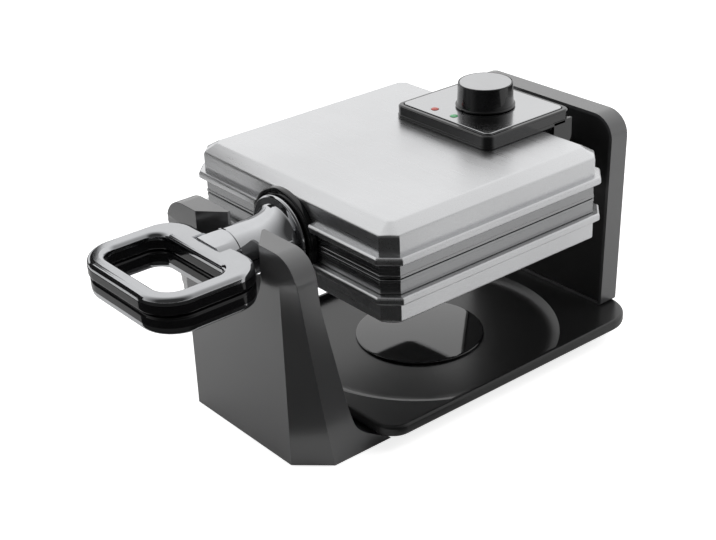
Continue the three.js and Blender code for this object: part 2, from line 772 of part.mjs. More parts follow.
function retainingRing() {
  const span = [clipY, clipY + CLIP_THICKNESS];
  const through = [span[0] - OVERRUN, span[1] + OVERRUN];
  const opening = SHAFT_RADIUS / 2;
  return cut(
    rodAlongY(CLIP_RADIUS, span, TURN_STEPS),
    rodAlongY(SHAFT_RADIUS - CLIP_GROOVE + GAP, through, TURN_STEPS),
    block([-opening, opening], through, [-CLIP_RADIUS - OVERRUN, 0]),
  );
}

// Control box, knob and what they hold, in the upper half's own frame

function boxOutline(inset, radius) {
  return roundedOutline([boxLeft + inset, boxRight - inset], [boxFront + inset, boxBack - inset], radius);
}

function boxScrewPlaces() {
  const inset = BOX_WALL + BOX_SCREW_INSET;
  return [boxLeft + inset, boxRight - inset].map((x) => [x, boxFront + inset]);
}

function lampPlaces() {
  return [RED_LAMP_X, GREEN_LAMP_X].map((x) => [x, lampY]);
}

function controlBox() {
  const body = raisedOneRim(boxOutline(0, BOX_CORNER), [boxBase, boxTop], BOX_EDGE);
  const inside = raised(boxOutline(BOX_WALL, BOX_CORNER - BOX_WALL), [boxBase - OVERRUN, boxCeiling]);
  const seatSpan = [boxTop - PANEL_THICKNESS, boxTop + OVERRUN];
  const panelSeat = raised(boxOutline(PANEL_MARGIN, PANEL_CORNER), seatSpan);
  const cheekFront = pinY - CHEEK_RADIUS;
  const cheeks = [boxLeft, boxRight - BOX_WALL].map((x) => {
    const span = [x, x + BOX_WALL];
    const web = block(span, [cheekFront, pinY + CHEEK_RADIUS], [PIN_RISE, boxBase + BOX_WALL]);
    return join(web, rodAlongX(CHEEK_RADIUS, span).translate(0, pinY, PIN_RISE));
  });
  const bosses = boxScrewPlaces().map(([x, y]) =>
    rod(BOSS_RADIUS, [boxBase, boxTop - BOX_WALL]).translate(x, y, 0),
  );
  const through = [boxBase, boxTop + OVERRUN];
  const holes = [
    rod(SPINDLE_RADIUS + 2 * GAP, through).translate(BOX_X, knobY, 0),
    ...lampPlaces().map(([x, y]) => rod(LAMP_RADIUS + GAP, through).translate(x, y, 0)),
    ...boxScrewPlaces().map(([x, y]) => rod(screwHole, [boxBase - OVERRUN, boxCeiling]).translate(x, y, 0)),
    rodAlongX(pinSlot, [boxLeft - OVERRUN, boxRight + OVERRUN]).translate(0, pinY, PIN_RISE),
  ];
  return cut(join(cut(body, inside), ...cheeks, ...bosses), panelSeat, ...holes);
}

function controlPanel() {
  const outline = boxOutline(PANEL_MARGIN + GAP, PANEL_CORNER - GAP);
  const plate = raised(outline, [boxTop - PANEL_THICKNESS + GAP, panelTop]);
  const through = [boxBase, panelTop + OVERRUN];
  const holes = lampPlaces().map(([x, y]) => rod(LAMP_RADIUS + GAP, through).translate(x, y, 0));
  return cut(plate, rod(SPINDLE_RADIUS + 2 * GAP, through).translate(BOX_X, knobY, 0), ...holes);
}

function lamp([x, y]) {
  const flangeTop = boxCeiling - GAP;
  const lens = join(
    rod(LAMP_RADIUS, [flangeTop - LAMP_FLANGE / 2, panelTop + LAMP_PROUD]),
    rod(LAMP_FLANGE_RADIUS, [flangeTop - LAMP_FLANGE, flangeTop]),
  );
  return lens.translate(x, y, 0);
}

function thermostatBody() {
  const half = THERMOSTAT_SIDE / 2;
  const body = block(
    [BOX_X - half, BOX_X + half],
    [knobY - half, knobY + half],
    [thermostatBottom, thermostatTop],
  );
  const bore = rod(SPINDLE_RADIUS + GAP, [thermostatTop - SPINDLE_ENTRY - GAP, thermostatTop + OVERRUN]);
  const window = CONTACT_WINDOW_WIDTH / 2;
  const slot = block(
    [BOX_X - window, BOX_X + window],
    [knobY - half - OVERRUN, knobY + half + OVERRUN],
    [windowBottom, windowTop],
  );
  return cut(body, bore.translate(BOX_X, knobY, 0), slot);
}

function thermostatContact() {
  const top = windowTop - GAP;
  const half = CONTACT_WIDTH / 2;
  const reach = THERMOSTAT_SIDE / 2;
  return block(
    [BOX_X - half, BOX_X + half],
    [knobY - reach, knobY + reach],
    [top - CONTACT_THICKNESS, top],
  );
}

function shellOpenings() {
  const half = THERMOSTAT_SIDE / 2 + THERMOSTAT_ROOM;
  const through = [reflectorTop, HEAD_RISE + OVERRUN];
  const thermostat = block([BOX_X - half, BOX_X + half], [knobY - half, knobY + half], through);
  const screws = boxScrewPlaces().map(([x, y]) => rod(screwHole, through).translate(x, y, 0));
  return [thermostat, ...screws];
}

function knobBody() {
  const skirtTop = knobBase + KNOB_SKIRT;
  const body = turned([
    [0, knobBase],
    [KNOB_SKIRT_RADIUS, knobBase],
    [KNOB_SKIRT_RADIUS, skirtTop],
    [KNOB_RADIUS, skirtTop],
    [KNOB_TOP_RADIUS, knobTop - KNOB_EDGE],
    [KNOB_TOP_RADIUS - KNOB_EDGE, knobTop],
    [0, knobTop],
  ]);
  const seat = rod(CAP_RADIUS, [knobTop - CAP_THICKNESS, knobTop + OVERRUN], TURN_STEPS);
  const bore = rod(SPINDLE_RADIUS + GAP, [knobBase - OVERRUN, knobBase + SPINDLE_GRIP + GAP]);
  return cut(body, seat, bore).translate(BOX_X, knobY, 0);
}

function knobCap() {
  const span = [knobTop - CAP_THICKNESS + GAP, knobTop];
  return rod(CAP_RADIUS - GAP, span, TURN_STEPS).translate(BOX_X, knobY, 0);
}

function spindle() {
  const span = [thermostatTop - SPINDLE_ENTRY, knobBase + SPINDLE_GRIP];
  return rod(SPINDLE_RADIUS, span).translate(BOX_X, knobY, 0);
}

function thermalFuse() {
  const y0 = knobY - FUSE_LENGTH / 2;
  const fuse = rodAlongY(FUSE_RADIUS, [y0, y0 + FUSE_LENGTH]);
  return fuse.translate(FUSE_X, 0, reflectorTop + GAP + FUSE_RADIUS);
}

// Front stand, in table coordinates with Y measured from the head's centre

function standBack() {
  const points = STAND_BACK_SHARES.map(
    ([depth, height]) => new THREE.Vector2(depth * STAND_DEPTH - standFront, height * STAND_HEIGHT),
  );
  return new THREE.SplineCurve(points).getPoints(2 * points.length).map(({ x, y }) => [x, y]);
}

function standSideOutline() {
  return polygon([[-standFront, 0], ...standBack().reverse(), [-standFront, STAND_HEIGHT]]);
}

function standFrontOutline(inset) {
  const half = STAND_WIDTH / 2 - inset;
  const top = STAND_HEIGHT - inset;
  const radius = STAND_SHOULDER - inset;
  const shape = new THREE.Shape();
  shape.moveTo(-half - STAND_FLARE, 0);
  shape.lineTo(half + STAND_FLARE, 0);
  shape.lineTo(half, top - radius);
  shape.absarc(half - radius, top - radius, radius, 0, Math.PI / 2);
  shape.lineTo(radius - half, top);
  shape.absarc(radius - half, top - radius, radius, Math.PI / 2, Math.PI);
  return shape;
}

// What the corner facet takes away: sections that narrow from the table to where the facet runs out.
function facetCut(side, inset) {
  const edge = STAND_WIDTH / 2 - FACET_WIDTH;
  const reach = FACET_WIDTH + OVERRUN;
  const front = inset - standFront;
  const positions = [];
  const indices = [];
  for (let i = 0; i <= FACET_STEPS; i++) {
    const share = i / FACET_STEPS;
    const depth = (FACET_DEPTH * (1 - share) * reach) / FACET_WIDTH;
    const z = share * FACET_HEIGHT - (i ? 0 : OVERRUN);
    positions.push(edge, front, z, edge + reach, front + depth, z);
    positions.push(edge + reach, front - OVERRUN, z, edge, front - OVERRUN, z);
  }
  const corners = 4;
  const last = corners * FACET_STEPS;
  indices.push(0, 1, 2, 0, 2, 3, last, last + 2, last + 1, last, last + 3, last + 2);
  for (let i = 0; i < FACET_STEPS; i++) {
    for (let j = 0; j < corners; j++) {
      const a = i * corners + j;
      const b = i * corners + ((j + 1) % corners);
      indices.push(a, b + corners, b, a, a + corners, b + corners);
    }
  }
  const wedge = new THREE.BufferGeometry();
  wedge.setAttribute("position", new THREE.Float32BufferAttribute(positions, 3));
  wedge.setIndex(indices);
  if (side > 0) return wedge;
  wedge.scale(-1, 1, 1);
  wedge.setIndex(indices.toReversed());
  return wedge;
}

// The cradle for the neck: a U with a flared mouth at the front, grown by the given amount.
function notch(growth) {
  const radius = NECK_RADIUS + NOTCH_CLEARANCE + growth;
  const top = STAND_HEIGHT + OVERRUN;
  const back = STAND_DEPTH - standFront;
  const front = -standFront - OVERRUN;
  const slope = (LEAD_IN_RADIUS - NECK_RADIUS - NOTCH_CLEARANCE) / LEAD_IN_DEPTH;
  const mouthRadius = LEAD_IN_RADIUS + growth + slope * OVERRUN;
  const mouthBack = LEAD_IN_DEPTH - standFront;
  const mouth = turnedAlongY([
    [0, front],
    [mouthRadius, front],
    [radius, mouthBack],
    [0, mouthBack],
  ]).translate(0, 0, AXIS_HEIGHT);
  const flare = polygon([
    [-mouthRadius, front],
    [mouthRadius, front],
    [radius, mouthBack],
    [-radius, mouthBack],
  ]);
  return join(
    rodAlongY(radius, [front, back], TURN_STEPS).translate(0, 0, AXIS_HEIGHT),
    block([-radius, radius], [front, back], [AXIS_HEIGHT, top]),
    mouth,
    raised(flare, [AXIS_HEIGHT, top]),
  );
}

function standSolid() {
  const half = STAND_WIDTH / 2 + STAND_FLARE;
  const side = alongX(standSideOutline(), [-half, half]);
  const front = alongY(standFrontOutline(0), [-standFront - OVERRUN, OVERRUN]);
  return cut(common(side, front), facetCut(1, 0), facetCut(-1, 0));
}

function frontStand() {
  const room = block(
    [-STAND_WIDTH, STAND_WIDTH],
    [STAND_WALL - standFront, OVERRUN],
    [-OVERRUN, STAND_HEIGHT - STAND_WALL],
  );
  const inside = common(room, alongY(standFrontOutline(STAND_WALL), [-standFront, 2 * OVERRUN]));
  const hollow = cut(inside, facetCut(1, STAND_WALL), facetCut(-1, STAND_WALL), notch(STAND_WALL));
  const shell = cut(standSolid(), hollow, notch(0));
  return keep(shell, { z: [STAND_WALL_LIFT, STAND_HEIGHT + OVERRUN] });
}

function frontScrewPlaces() {
  return [-FRONT_SCREW_SPREAD, FRONT_SCREW_SPREAD].map((x) => [x, frontScrewY]);
}

function panTongue(growth) {
  const half = TONGUE_PLATE_WIDTH / 2 + growth;
  const z0 = footPlateTop + GAP;
  return block(
    [-half, half],
    [-tonguePlateReach - growth, panFront + PAN_WALL],
    [z0 - growth, z0 + PAN_WALL + growth],
  );
}

function frontStandCover() {
  const edge = STAND_WALL + GAP;
  const whole = alongX(standSideOutline(), [-STAND_WIDTH, STAND_WIDTH]);
  const strip = cut(whole, whole.clone().translate(0, -STAND_WALL, 0));
  const plate = keep(whole, { z: [0, footPlateTop] });
  const inside = alongY(standFrontOutline(edge), [-standFront, 2 * OVERRUN]);
  const limits = {
    y: [edge - standFront, OVERRUN],
    z: [STAND_LIFT, STAND_HEIGHT - edge],
  };
  const holes = frontScrewPlaces().flatMap(([x, y]) => [
    rod(screwHole, [0, footPlateTop + OVERRUN]).translate(x, y, 0),
    rod(SCREW_HEAD_RADIUS + GAP, [0, STAND_LIFT + SCREW_HEAD + GAP]).translate(x, y, 0),
  ]);
  const body = keep(common(join(strip, plate), inside), limits);
  return cut(body, facetCut(1, edge), facetCut(-1, edge), notch(edge), panTongue(GAP), ...holes);
}

// Tray, pan and feet

function trayScrewPlaces() {
  return [-TRAY_SCREW_SPREAD, TRAY_SCREW_SPREAD].map((x) => [x, trayScrewY]);
}

function rearScrewPlaces() {
  return [-REAR_SCREW_SPREAD, REAR_SCREW_SPREAD].map((x) => [x, rearInside - GAP - BOSS_RADIUS]);
}

function baseTray() {
  const half = TRAY_WIDTH / 2;
  const outline = roundedOutline([-half, half], [-trayFront, rearBack], TRAY_CORNER, TRAY_BACK_CORNER);
  const body = raised(outline, [TRAY_BOTTOM, trayTop], TRAY_EDGE);
  const dish = turned([
    [0, dishFloor],
    [dishRadius - DISH_SLOPE, dishFloor],
    [dishRadius, trayTop],
    [dishRadius, trayTop + OVERRUN],
    [0, trayTop + OVERRUN],
  ]).translate(0, dishY, 0);
  const headPocket = TRAY_BOTTOM + SCREW_HEAD + GAP;
  const holes = [
    ...trayScrewPlaces().map(([x, y]) =>
      rod(screwHole, [0, TRAY_BOTTOM + TRAY_SCREW_BITE + GAP]).translate(x, y, 0),
    ),
    ...rearScrewPlaces().flatMap(([x, y]) => [
      rod(screwHole, [0, trayTop + OVERRUN]).translate(x, y, 0),
      rod(SCREW_HEAD_RADIUS + GAP, [0, headPocket]).translate(x, y, 0),
    ]),
  ];
  return cut(body, keep(dish, { x: [TRAY_RIM - half, half - TRAY_RIM] }), ...holes);
}

function baseDisc() {
  const z0 = dishFloor + GAP;
  const z1 = z0 + DISC_THICKNESS;
  return turned([
    [0, z0],
    [DISC_RADIUS, z0],
    [DISC_RADIUS, z1 - DISC_EDGE],
    [DISC_RADIUS - DISC_EDGE, z1],
    [0, z1],
  ]).translate(0, dishY, 0);
}

function basePan() {
  const half = PAN_WIDTH / 2;
  const inner = half - PAN_WALL;
  const outline = roundedOutline([-half, half], [panFront, panBack], PAN_CORNER);
  const body = raised(outline, [PAN_BOTTOM, panTop]);
  const room = raised(
    roundedOutline([-inner, inner], [panFront + PAN_WALL, panBack - PAN_WALL], PAN_CORNER - PAN_WALL),
    [PAN_BOTTOM + PAN_WALL, panTop + OVERRUN],
  );
  const bosses = trayScrewPlaces().map(([x, y]) =>
    rod(BOSS_RADIUS, [PAN_BOTTOM, panTop]).translate(x, y, 0),
  );
  const holes = [
    ...trayScrewPlaces().flatMap(([x, y]) => [
      rod(screwHole, [0, panTop + OVERRUN]).translate(x, y, 0),
      rod(SCREW_HEAD_RADIUS + GAP, [0, PAN_BOTTOM + SCREW_HEAD + GAP]).translate(x, y, 0),
    ]),
    ...frontScrewPlaces().map(([x, y]) => rod(screwHole, [0, panTop + OVERRUN]).translate(x, y, 0)),
  ];
  return cut(join(cut(body, room), ...bosses, panTongue(0)), ...holes);
}

function rubberFoot(x, y, top) {
  return rod(FOOT_RADIUS, [0, top - GAP], SMALL_TURN_STEPS).translate(x, y, 0);
}

// Rear stand and what it holds

function rearOutline(inset) {
  const half = REAR_WIDTH / 2 - inset;
  const span = [rearBase + inset, REAR_TOP - inset];
  const outline = roundedOutline([-half, half], span, REAR_FOOT_CORNER, REAR_CORNER - inset);
  const middle = (rearBase + REAR_TOP) / 2;
  const flared = ({ x, y }) => [x * (1 + (REAR_FLARE_SHARE * (y - middle)) / (REAR_TOP - middle)), y];
  return polygon(outline.getPoints(ARC_STEPS).map(flared));
}

function rearStand() {
  const body = alongY(rearOutline(0), [rearFront, rearBack], REAR_EDGE);
  const room = alongY(rearOutline(REAR_WALL), [rearFront - OVERRUN, rearInside]);
  const bosses = rearScrewPlaces().map(([x, y]) =>
    rod(BOSS_RADIUS, [rearBase, rearBase + 2 * SCREW_BITE]).translate(x, y, 0),
  );
  const postDrop = STOP_TAB_WIDTH / 2 + STOP_POST_RADIUS + GAP;
  const postX = STOP_TAB_REACH - STOP_POST_RADIUS;
  const posts = [-postX, postX].map((x) =>
    rodAlongY(STOP_POST_RADIUS, [stopDiscY, rearBack - REAR_EDGE]).translate(x, 0, AXIS_HEIGHT - postDrop),
  );
  const holes = [
    ...rearScrewPlaces().map(([x, y]) =>
      rod(screwHole, [0, rearBase + SCREW_BITE + GAP]).translate(x, y, 0),
    ),
    rodAlongY(GLAND_RADIUS + GAP, [rearInside - OVERRUN, rearBack + OVERRUN]).translate(GLAND_X, 0, GLAND_Z),
  ];
  return cut(join(cut(body, room), ...bosses, ...posts), ...holes);
}

function rearStandCover() {
  const plate = alongY(rearOutline(REAR_WALL + GAP), [coverFront, coverBack]);
  const hole = rodAlongY(SHAFT_RADIUS + BUSH_WALL + 2 * GAP, [rearFront - OVERRUN, rearBack], TURN_STEPS);
  return cut(plate, hole.translate(0, 0, AXIS_HEIGHT));
}

function rearBush() {
  const inner = SHAFT_RADIUS + GAP;
  const outer = inner + BUSH_WALL;
  return turnedAlongY([
    [inner, coverFront],
    [outer, coverFront],
    [outer, bushFlangeY],
    [BUSH_FLANGE_RADIUS, bushFlangeY],
    [BUSH_FLANGE_RADIUS, bushFlangeY + BUSH_FLANGE],
    [inner, bushFlangeY + BUSH_FLANGE],
    [inner, coverFront],
  ]).translate(0, 0, AXIS_HEIGHT);
}

function terminalBlock() {
  const half = TERMINAL_WIDTH / 2;
  const y1 = rearInside - GAP;
  const body = block([-half, half], [y1 - TERMINAL_DEPTH, y1], [TERMINAL_Z, TERMINAL_Z + TERMINAL_HEIGHT]);
  const slots = [];
  for (let i = 0; i < TERMINAL_COUNT; i++) {
    const x = ((i + 0.5) / TERMINAL_COUNT - 0.5) * TERMINAL_WIDTH;
    slots.push(rod(TERMINAL_SLOT / 2, [0, REAR_TOP]).translate(x, y1 - TERMINAL_DEPTH / 2, 0));
  }
  return cut(body, ...slots);
}

function cordGland() {
  const inside = rearInside - GAP;
  const outside = rearBack + GAP;
  const end = rearBack + GLAND_FLANGE;
  const ringProfile = [
    [GLAND_BORE, inside - GLAND_FLANGE],
    [GLAND_FLANGE_RADIUS, inside - GLAND_FLANGE],
    [GLAND_FLANGE_RADIUS, inside],
    [GLAND_RADIUS, inside],
    [GLAND_RADIUS, outside],
    [GLAND_FLANGE_RADIUS, outside],
    [GLAND_FLANGE_RADIUS, end],
    [GLAND_BORE, end],
    [GLAND_BORE, inside - GLAND_FLANGE],
  ];
  return turnedAlongY(ringProfile, SMALL_TURN_STEPS).translate(GLAND_X, 0, GLAND_Z);
}

// Assembly

function piece(group, name, geometry, finish) {
  const [color, roughness, metalness] = FINISHES[finish];
  const mesh = new THREE.Mesh(geometry, new THREE.MeshStandardMaterial({ color, roughness, metalness }));
  mesh.name = name;
  group.add(mesh);
  return mesh;
}

// The pieces that both halves have alike; the lower half is the upper one mirrored in the parting plane.
function addHalf(group, side, shell, reach) {
  piece(group, `${side}_shell`, shell, "brushedSteel");
  piece(group, `${side}_rim`, headRim(), "darkSteel");
  piece(group, `${side}_plate`, wafflePlate(), "coatedPlate");
  piece(group, `${side}_heating_element`, heatingElement(), "heater");
  piece(group, `${side}_reflector`, reflector(), "aluminiumSheet");
  piece(group, `${side}_collar`, collar(), "blackPlastic");
  piece(group, `${side}_neck`, neck(), "chrome");
  piece(group, `${side}_handle`, handleLoop(reach), "glossBlack");
  piece(group, `${side}_handle_trim`, handleTrim(reach), "chrome");
}

const SIDES = ["left", "right"];
const model = new THREE.Group();
model.position.y = originShift;

const upper = new THREE.Group();
upper.position.z = AXIS_HEIGHT;
model.add(upper);
addHalf(upper, "upper", cut(headShell(), neckHole(), ...shellOpenings()), upperReach);
piece(upper, "control_box", controlBox(), "glossBlack");
piece(upper, "control_panel", controlPanel(), "brushedSteel");
piece(upper, "lamp_red", lamp(lampPlaces()[0]), "redLens");
piece(upper, "lamp_green", lamp(lampPlaces()[1]), "greenLens");
piece(upper, "thermostat_body", thermostatBody(), "ceramic");
piece(upper, "thermostat_contact", thermostatContact(), "brass");
piece(upper, "thermal_fuse", thermalFuse(), "nylon");
piece(upper, "thermostat_spindle", spindle(), "brass");
piece(upper, "knob", knobBody(), "blackPlastic");
piece(upper, "knob_cap", knobCap(), "aluminiumSheet");
boxScrewPlaces().forEach(([x, y], i) => {
  const seat = HEAD_RISE - SHELL_WALL - GAP;
  const bolt = screw(boxCeiling - GAP - seat);
  piece(upper, `control_box_screw_${SIDES[i]}`, bolt, "zincSteel").position.set(x, y, seat);
});

const lower = new THREE.Group();
lower.position.z = AXIS_HEIGHT;
lower.scale.z = -1;
model.add(lower);
const bracketHoles = [-1, 1].map((side) =>
  rodAlongY(screwHole, [headHalfY - OVERRUN, headHalfY + OVERRUN]).translate(
    side * BRACKET_SCREW_SPREAD,
    0,
    BRACKET_SCREW_DROP,
  ),
);
addHalf(lower, "lower", cut(headShell(), neckHole(), ...bracketHoles), lowerReach);

const hinge = new THREE.Group();
hinge.position.z = AXIS_HEIGHT;
model.add(hinge);
piece(hinge, "hinge_bracket", hingeBracket(), "castAluminium");
piece(hinge, "hinge_pin", hingePin(), "zincSteel");
piece(hinge, "rear_shaft", rearShaft(), "zincSteel");
piece(hinge, "shaft_stop_disc", stopDisc(), "zincSteel");
piece(hinge, "shaft_retaining_ring", retainingRing(), "zincSteel");
[-1, 1].forEach((side, i) => {
  const length = bracketBack - headHalfY + SHELL_WALL;
  const bolt = piece(hinge, `bracket_screw_${SIDES[i]}`, screw(length), "zincSteel");
  bolt.rotation.x = Math.PI / 2;
  bolt.position.set(side * BRACKET_SCREW_SPREAD, bracketBack + GAP, -BRACKET_SCREW_DROP);
});

const base = new THREE.Group();
model.add(base);
piece(base, "base_tray", baseTray(), "greyPlastic");
piece(base, "base_disc", baseDisc(), "glossBlack");
piece(base, "base_pan", basePan(), "blackPlastic");
piece(base, "front_stand", frontStand(), "greyPlastic");
piece(base, "front_stand_cover", frontStandCover(), "greyPlastic");
piece(base, "rear_stand", rearStand(), "greyPlastic");
piece(base, "rear_stand_cover", rearStandCover(), "blackPlastic");
piece(base, "rear_bush", rearBush(), "nylon");
piece(base, "terminal_block", terminalBlock(), "nylon");
piece(base, "cord_gland", cordGland(), "rubber");
for (const [end, y, top] of [
  ["front", frontFootY, STAND_LIFT],
  ["rear", rearFootY, PAN_BOTTOM],
]) {
  piece(base, `${end}_foot_left`, rubberFoot(-FOOT_SPREAD, y, top), "rubber");
  piece(base, `${end}_foot_right`, rubberFoot(FOOT_SPREAD, y, top), "rubber");
}
for (const [name, places, seat, length] of [
  ["front_stand_screw", frontScrewPlaces(), STAND_LIFT, footPlateTop + SCREW_BITE / 2 - STAND_LIFT],
  ["tray_screw", trayScrewPlaces(), PAN_BOTTOM, panTop - PAN_BOTTOM + TRAY_SCREW_BITE - SCREW_HEAD],
  ["rear_stand_screw", rearScrewPlaces(), TRAY_BOTTOM, TRAY_THICKNESS + SCREW_BITE - SCREW_HEAD],
]) {
  places.forEach(([x, y], i) => {
    const bolt = piece(base, `${name}_${SIDES[i]}`, screw(length), "zincSteel");
    bolt.position.set(x, y, seat + SCREW_HEAD);
  });
}

export default model;
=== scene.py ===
"""Looks for a rotating waffle maker: detailed pieces and finishes on the frame of its bodies.

Metres, +Z up, the handles towards -Y. Each operator makes one piece or one group of like pieces.
"""

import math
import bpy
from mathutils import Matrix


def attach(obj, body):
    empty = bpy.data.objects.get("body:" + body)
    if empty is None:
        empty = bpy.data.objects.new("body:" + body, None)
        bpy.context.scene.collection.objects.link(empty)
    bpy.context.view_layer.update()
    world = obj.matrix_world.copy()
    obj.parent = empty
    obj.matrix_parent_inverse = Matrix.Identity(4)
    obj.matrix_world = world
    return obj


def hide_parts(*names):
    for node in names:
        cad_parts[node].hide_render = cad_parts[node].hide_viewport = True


bl_info = {
    "name": "Rotating Waffle Maker",
    "version": (1, 0, 0),
    "blender": (4, 5, 0),
    "location": "3D View > Sidebar > Waffle Maker",
    "description": "Builds the pieces and finishes of a rotating waffle maker on its frame",
    "category": "Object",
}

import bmesh
import bpy
from bpy.props import FloatProperty, FloatVectorProperty, IntProperty, PointerProperty
from mathutils import Matrix, Vector

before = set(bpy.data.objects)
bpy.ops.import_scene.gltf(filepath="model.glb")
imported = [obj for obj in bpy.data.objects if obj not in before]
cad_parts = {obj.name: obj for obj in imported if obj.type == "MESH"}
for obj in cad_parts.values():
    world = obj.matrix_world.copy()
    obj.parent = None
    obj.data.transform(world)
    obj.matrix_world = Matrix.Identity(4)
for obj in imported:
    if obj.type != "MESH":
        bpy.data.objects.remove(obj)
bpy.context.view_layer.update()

MM = 0.001
HALVES = {"upper": 1, "lower": -1}
SIDES = {"left": -1, "right": 1}

# All further sizes are in millimetres, with Y from the middle of the head and, in a half of the
# head, Z from the parting plane

HEAD_CENTRE = Vector((0.0, 0.036, 0.132))  # in metres: on the turning axis, in the head's middle
AXIS_HEIGHT = 132.0
HEAD_HALF_X = 100.0
HEAD_HALF_Y = 94.0
HEAD_CORNER = 9.0
PARTING_GAP = 0.3
PLATE_TIP = 5.5
PEG_HEIGHT = 8.6
HANDLE_REACHES = {"upper": 222.0, "lower": 221.0}
NECK_END = -140.8
BOX_LEFT, BOX_RIGHT = -39.5, 53.5
KNOB_PLACE = (9.0, 73.5)
LAMP_Y = 44.0
LAMPS = {"red": -10.0, "green": 9.0}
STAND_FRONT = -140.5
STAND_TOP = 151.0
FACET_FOLD = 52.5
FACET_HEIGHT = 141.0
DISH_Y = 17.0
GLAND_PLACE = {"x": 20.0, "z": 38.0}
PIN_Y, PIN_Z = 104.0, 26.0
BRACKET_LEFT, BRACKET_RIGHT = -30.5, 44.5
BRACKET_SCREW_Z = -23.0
STAND_SIDE = (
    (16.1, 151.0), (16.4, 122.3), (20.6, 98.9), (25.5, 76.0), (29.8, 55.9),
    (33.9, 37.8), (38.7, 22.7), (45.2, 15.1), (53.1, 9.8), (68.5, 0.0),
)  # the back edge of the front stand: depth behind its front plane, and height


# Sizes and colours that can be changed


class WaffleMakerSizes(bpy.types.PropertyGroup):
    """Sizes of the detail that the looks add to the frame."""

    shell_edge: FloatProperty(
        name="Shell edge", description="Radius of the folded edges of the steel shells",
        default=0.0011, min=0.0002, max=0.003, unit="LENGTH",
    )
    lip_edge: FloatProperty(
        name="Lip edge", description="Radius of the small edges of the lips and rims",
        default=0.0004, min=0.0001, max=0.001, unit="LENGTH",
    )
    handle_edge: FloatProperty(
        name="Handle edge", description="Radius of the rails of the handle loops",
        default=0.0024, min=0.0005, max=0.004, unit="LENGTH",
    )
    stand_edge: FloatProperty(
        name="Stand edge", description="Radius of the outer edges of both stands",
        default=0.0012, min=0.0003, max=0.003, unit="LENGTH",
    )
    tray_edge: FloatProperty(
        name="Tray edge", description="Radius of the tray's upper edge",
        default=0.0022, min=0.0005, max=0.004, unit="LENGTH",
    )
    turned_steps: IntProperty(
        name="Turned steps", description="Steps round the large turned pieces",
        default=128, min=32, max=256,
    )
    arc_steps: IntProperty(
        name="Arc steps", description="Steps in each rounded corner", default=12, min=4, max=32
    )


class WaffleMakerColours(bpy.types.PropertyGroup):
    """Colours of the finishes."""

    steel: FloatVectorProperty(
        name="Brushed steel", description="Colour of the shells",
        subtype="COLOR", default=(0.775, 0.78, 0.79), min=0.0, max=1.0,
    )
    chrome: FloatVectorProperty(
        name="Chrome", description="Colour of the necks and the handle trims",
        subtype="COLOR", default=(0.82, 0.83, 0.85), min=0.0, max=1.0,
    )
    gloss_black: FloatVectorProperty(
        name="Gloss black", description="Colour of the handle loops and the control box",
        subtype="COLOR", default=(0.006, 0.006, 0.0065), min=0.0, max=1.0,
    )
    stand_grey: FloatVectorProperty(
        name="Stand grey", description="Colour of the stands and the tray",
        subtype="COLOR", default=(0.056, 0.056, 0.0575), min=0.0, max=1.0,
    )
    coating: FloatVectorProperty(
        name="Non-stick coating", description="Colour of the waffle plates",
        subtype="COLOR", default=(0.018, 0.018, 0.019), min=0.0, max=1.0,
    )
    floor: FloatVectorProperty(
        name="Floor", description="Colour of the studio floor",
        subtype="COLOR", default=(0.76, 0.76, 0.76), min=0.0, max=1.0,
    )


# Materials


def add_node(tree, kind, output, values, links):
    """An output of a new node whose inputs have fixed values or are linked."""
    node = tree.nodes.new(kind)
    for name, value in values.items():
        node.inputs[name].default_value = value
    for name, source in links.items():
        tree.links.new(source, node.inputs[name])
    return node.outputs[output]


def mapped(tree, vector, scale):
    """The vector stretched along each axis."""
    return add_node(tree, "ShaderNodeMapping", "Vector", {"Scale": scale}, {"Vector": vector})


def noise(tree, vector, scale, detail=3.0, roughness=0.5):
    """Soft random values, most of them near one half."""
    values = {"Scale": scale, "Detail": detail, "Roughness": roughness}
    return add_node(tree, "ShaderNodeTexNoise", "Fac", values, {"Vector": vector})


def ranged(tree, value, low, high, from_low=0.3, from_high=0.7):
    """A value carried from one range to another."""
    values = {"From Min": from_low, "From Max": from_high, "To Min": low, "To Max": high}
    return add_node(tree, "ShaderNodeMapRange", "Result", values, {"Value": value})


def bumped(tree, height, strength, distance=0.0003):
    """A normal that leans with the slope of a height."""
    values = {"Strength": strength, "Distance": distance}
    return add_node(tree, "ShaderNodeBump", "Normal", values, {"Height": height})


def tinted(tree, factor, dark, light):
    """A colour between two, led by a factor."""
    node = tree.nodes.new("ShaderNodeMix")
    node.data_type = "RGBA"
    node.inputs["A"].default_value = (*dark, 1.0)
    node.inputs["B"].default_value = (*light, 1.0)
    tree.links.new(factor, node.inputs["Factor"])
    return node.outputs["Result"]


def scaled(colour, factor):
    return tuple(min(1.0, channel * factor) for channel in colour)


def set_colour(tree, shader, field, colour, spread):
    """Colours the shader with a slight variation led by a noise field."""
    factor = ranged(tree, field, 0.0, 1.0)
    mixed = tinted(tree, factor, scaled(colour, 1.0 - spread), scaled(colour, 1.0 + spread))
    tree.links.new(mixed, shader.inputs["Base Color"])


def set_surface(tree, shader, values, **links):
    """Sets the shader's inputs to fixed values and links others."""
    for name, value in values.items():
        shader.inputs[name].default_value = value
    for name, source in links.items():
        tree.links.new(source, shader.inputs[name])


def brushed_metal(tree, shader, place, colour, roughness, grain, spread=0.05):
    """Sheet metal brushed in straight lines; grain is the stretch of the lines along X, Y and Z."""
    lines = noise(tree, mapped(tree, place, grain), 1.0, 4.0, 0.6)
    set_colour(tree, shader, noise(tree, place, 9.0), colour, spread)
    rough = ranged(tree, lines, roughness * 0.85, roughness * 1.2)
    set_surface(
        tree, shader, {"Metallic": 1.0}, Roughness=rough, Normal=bumped(tree, lines, 0.05, 0.0002)
    )


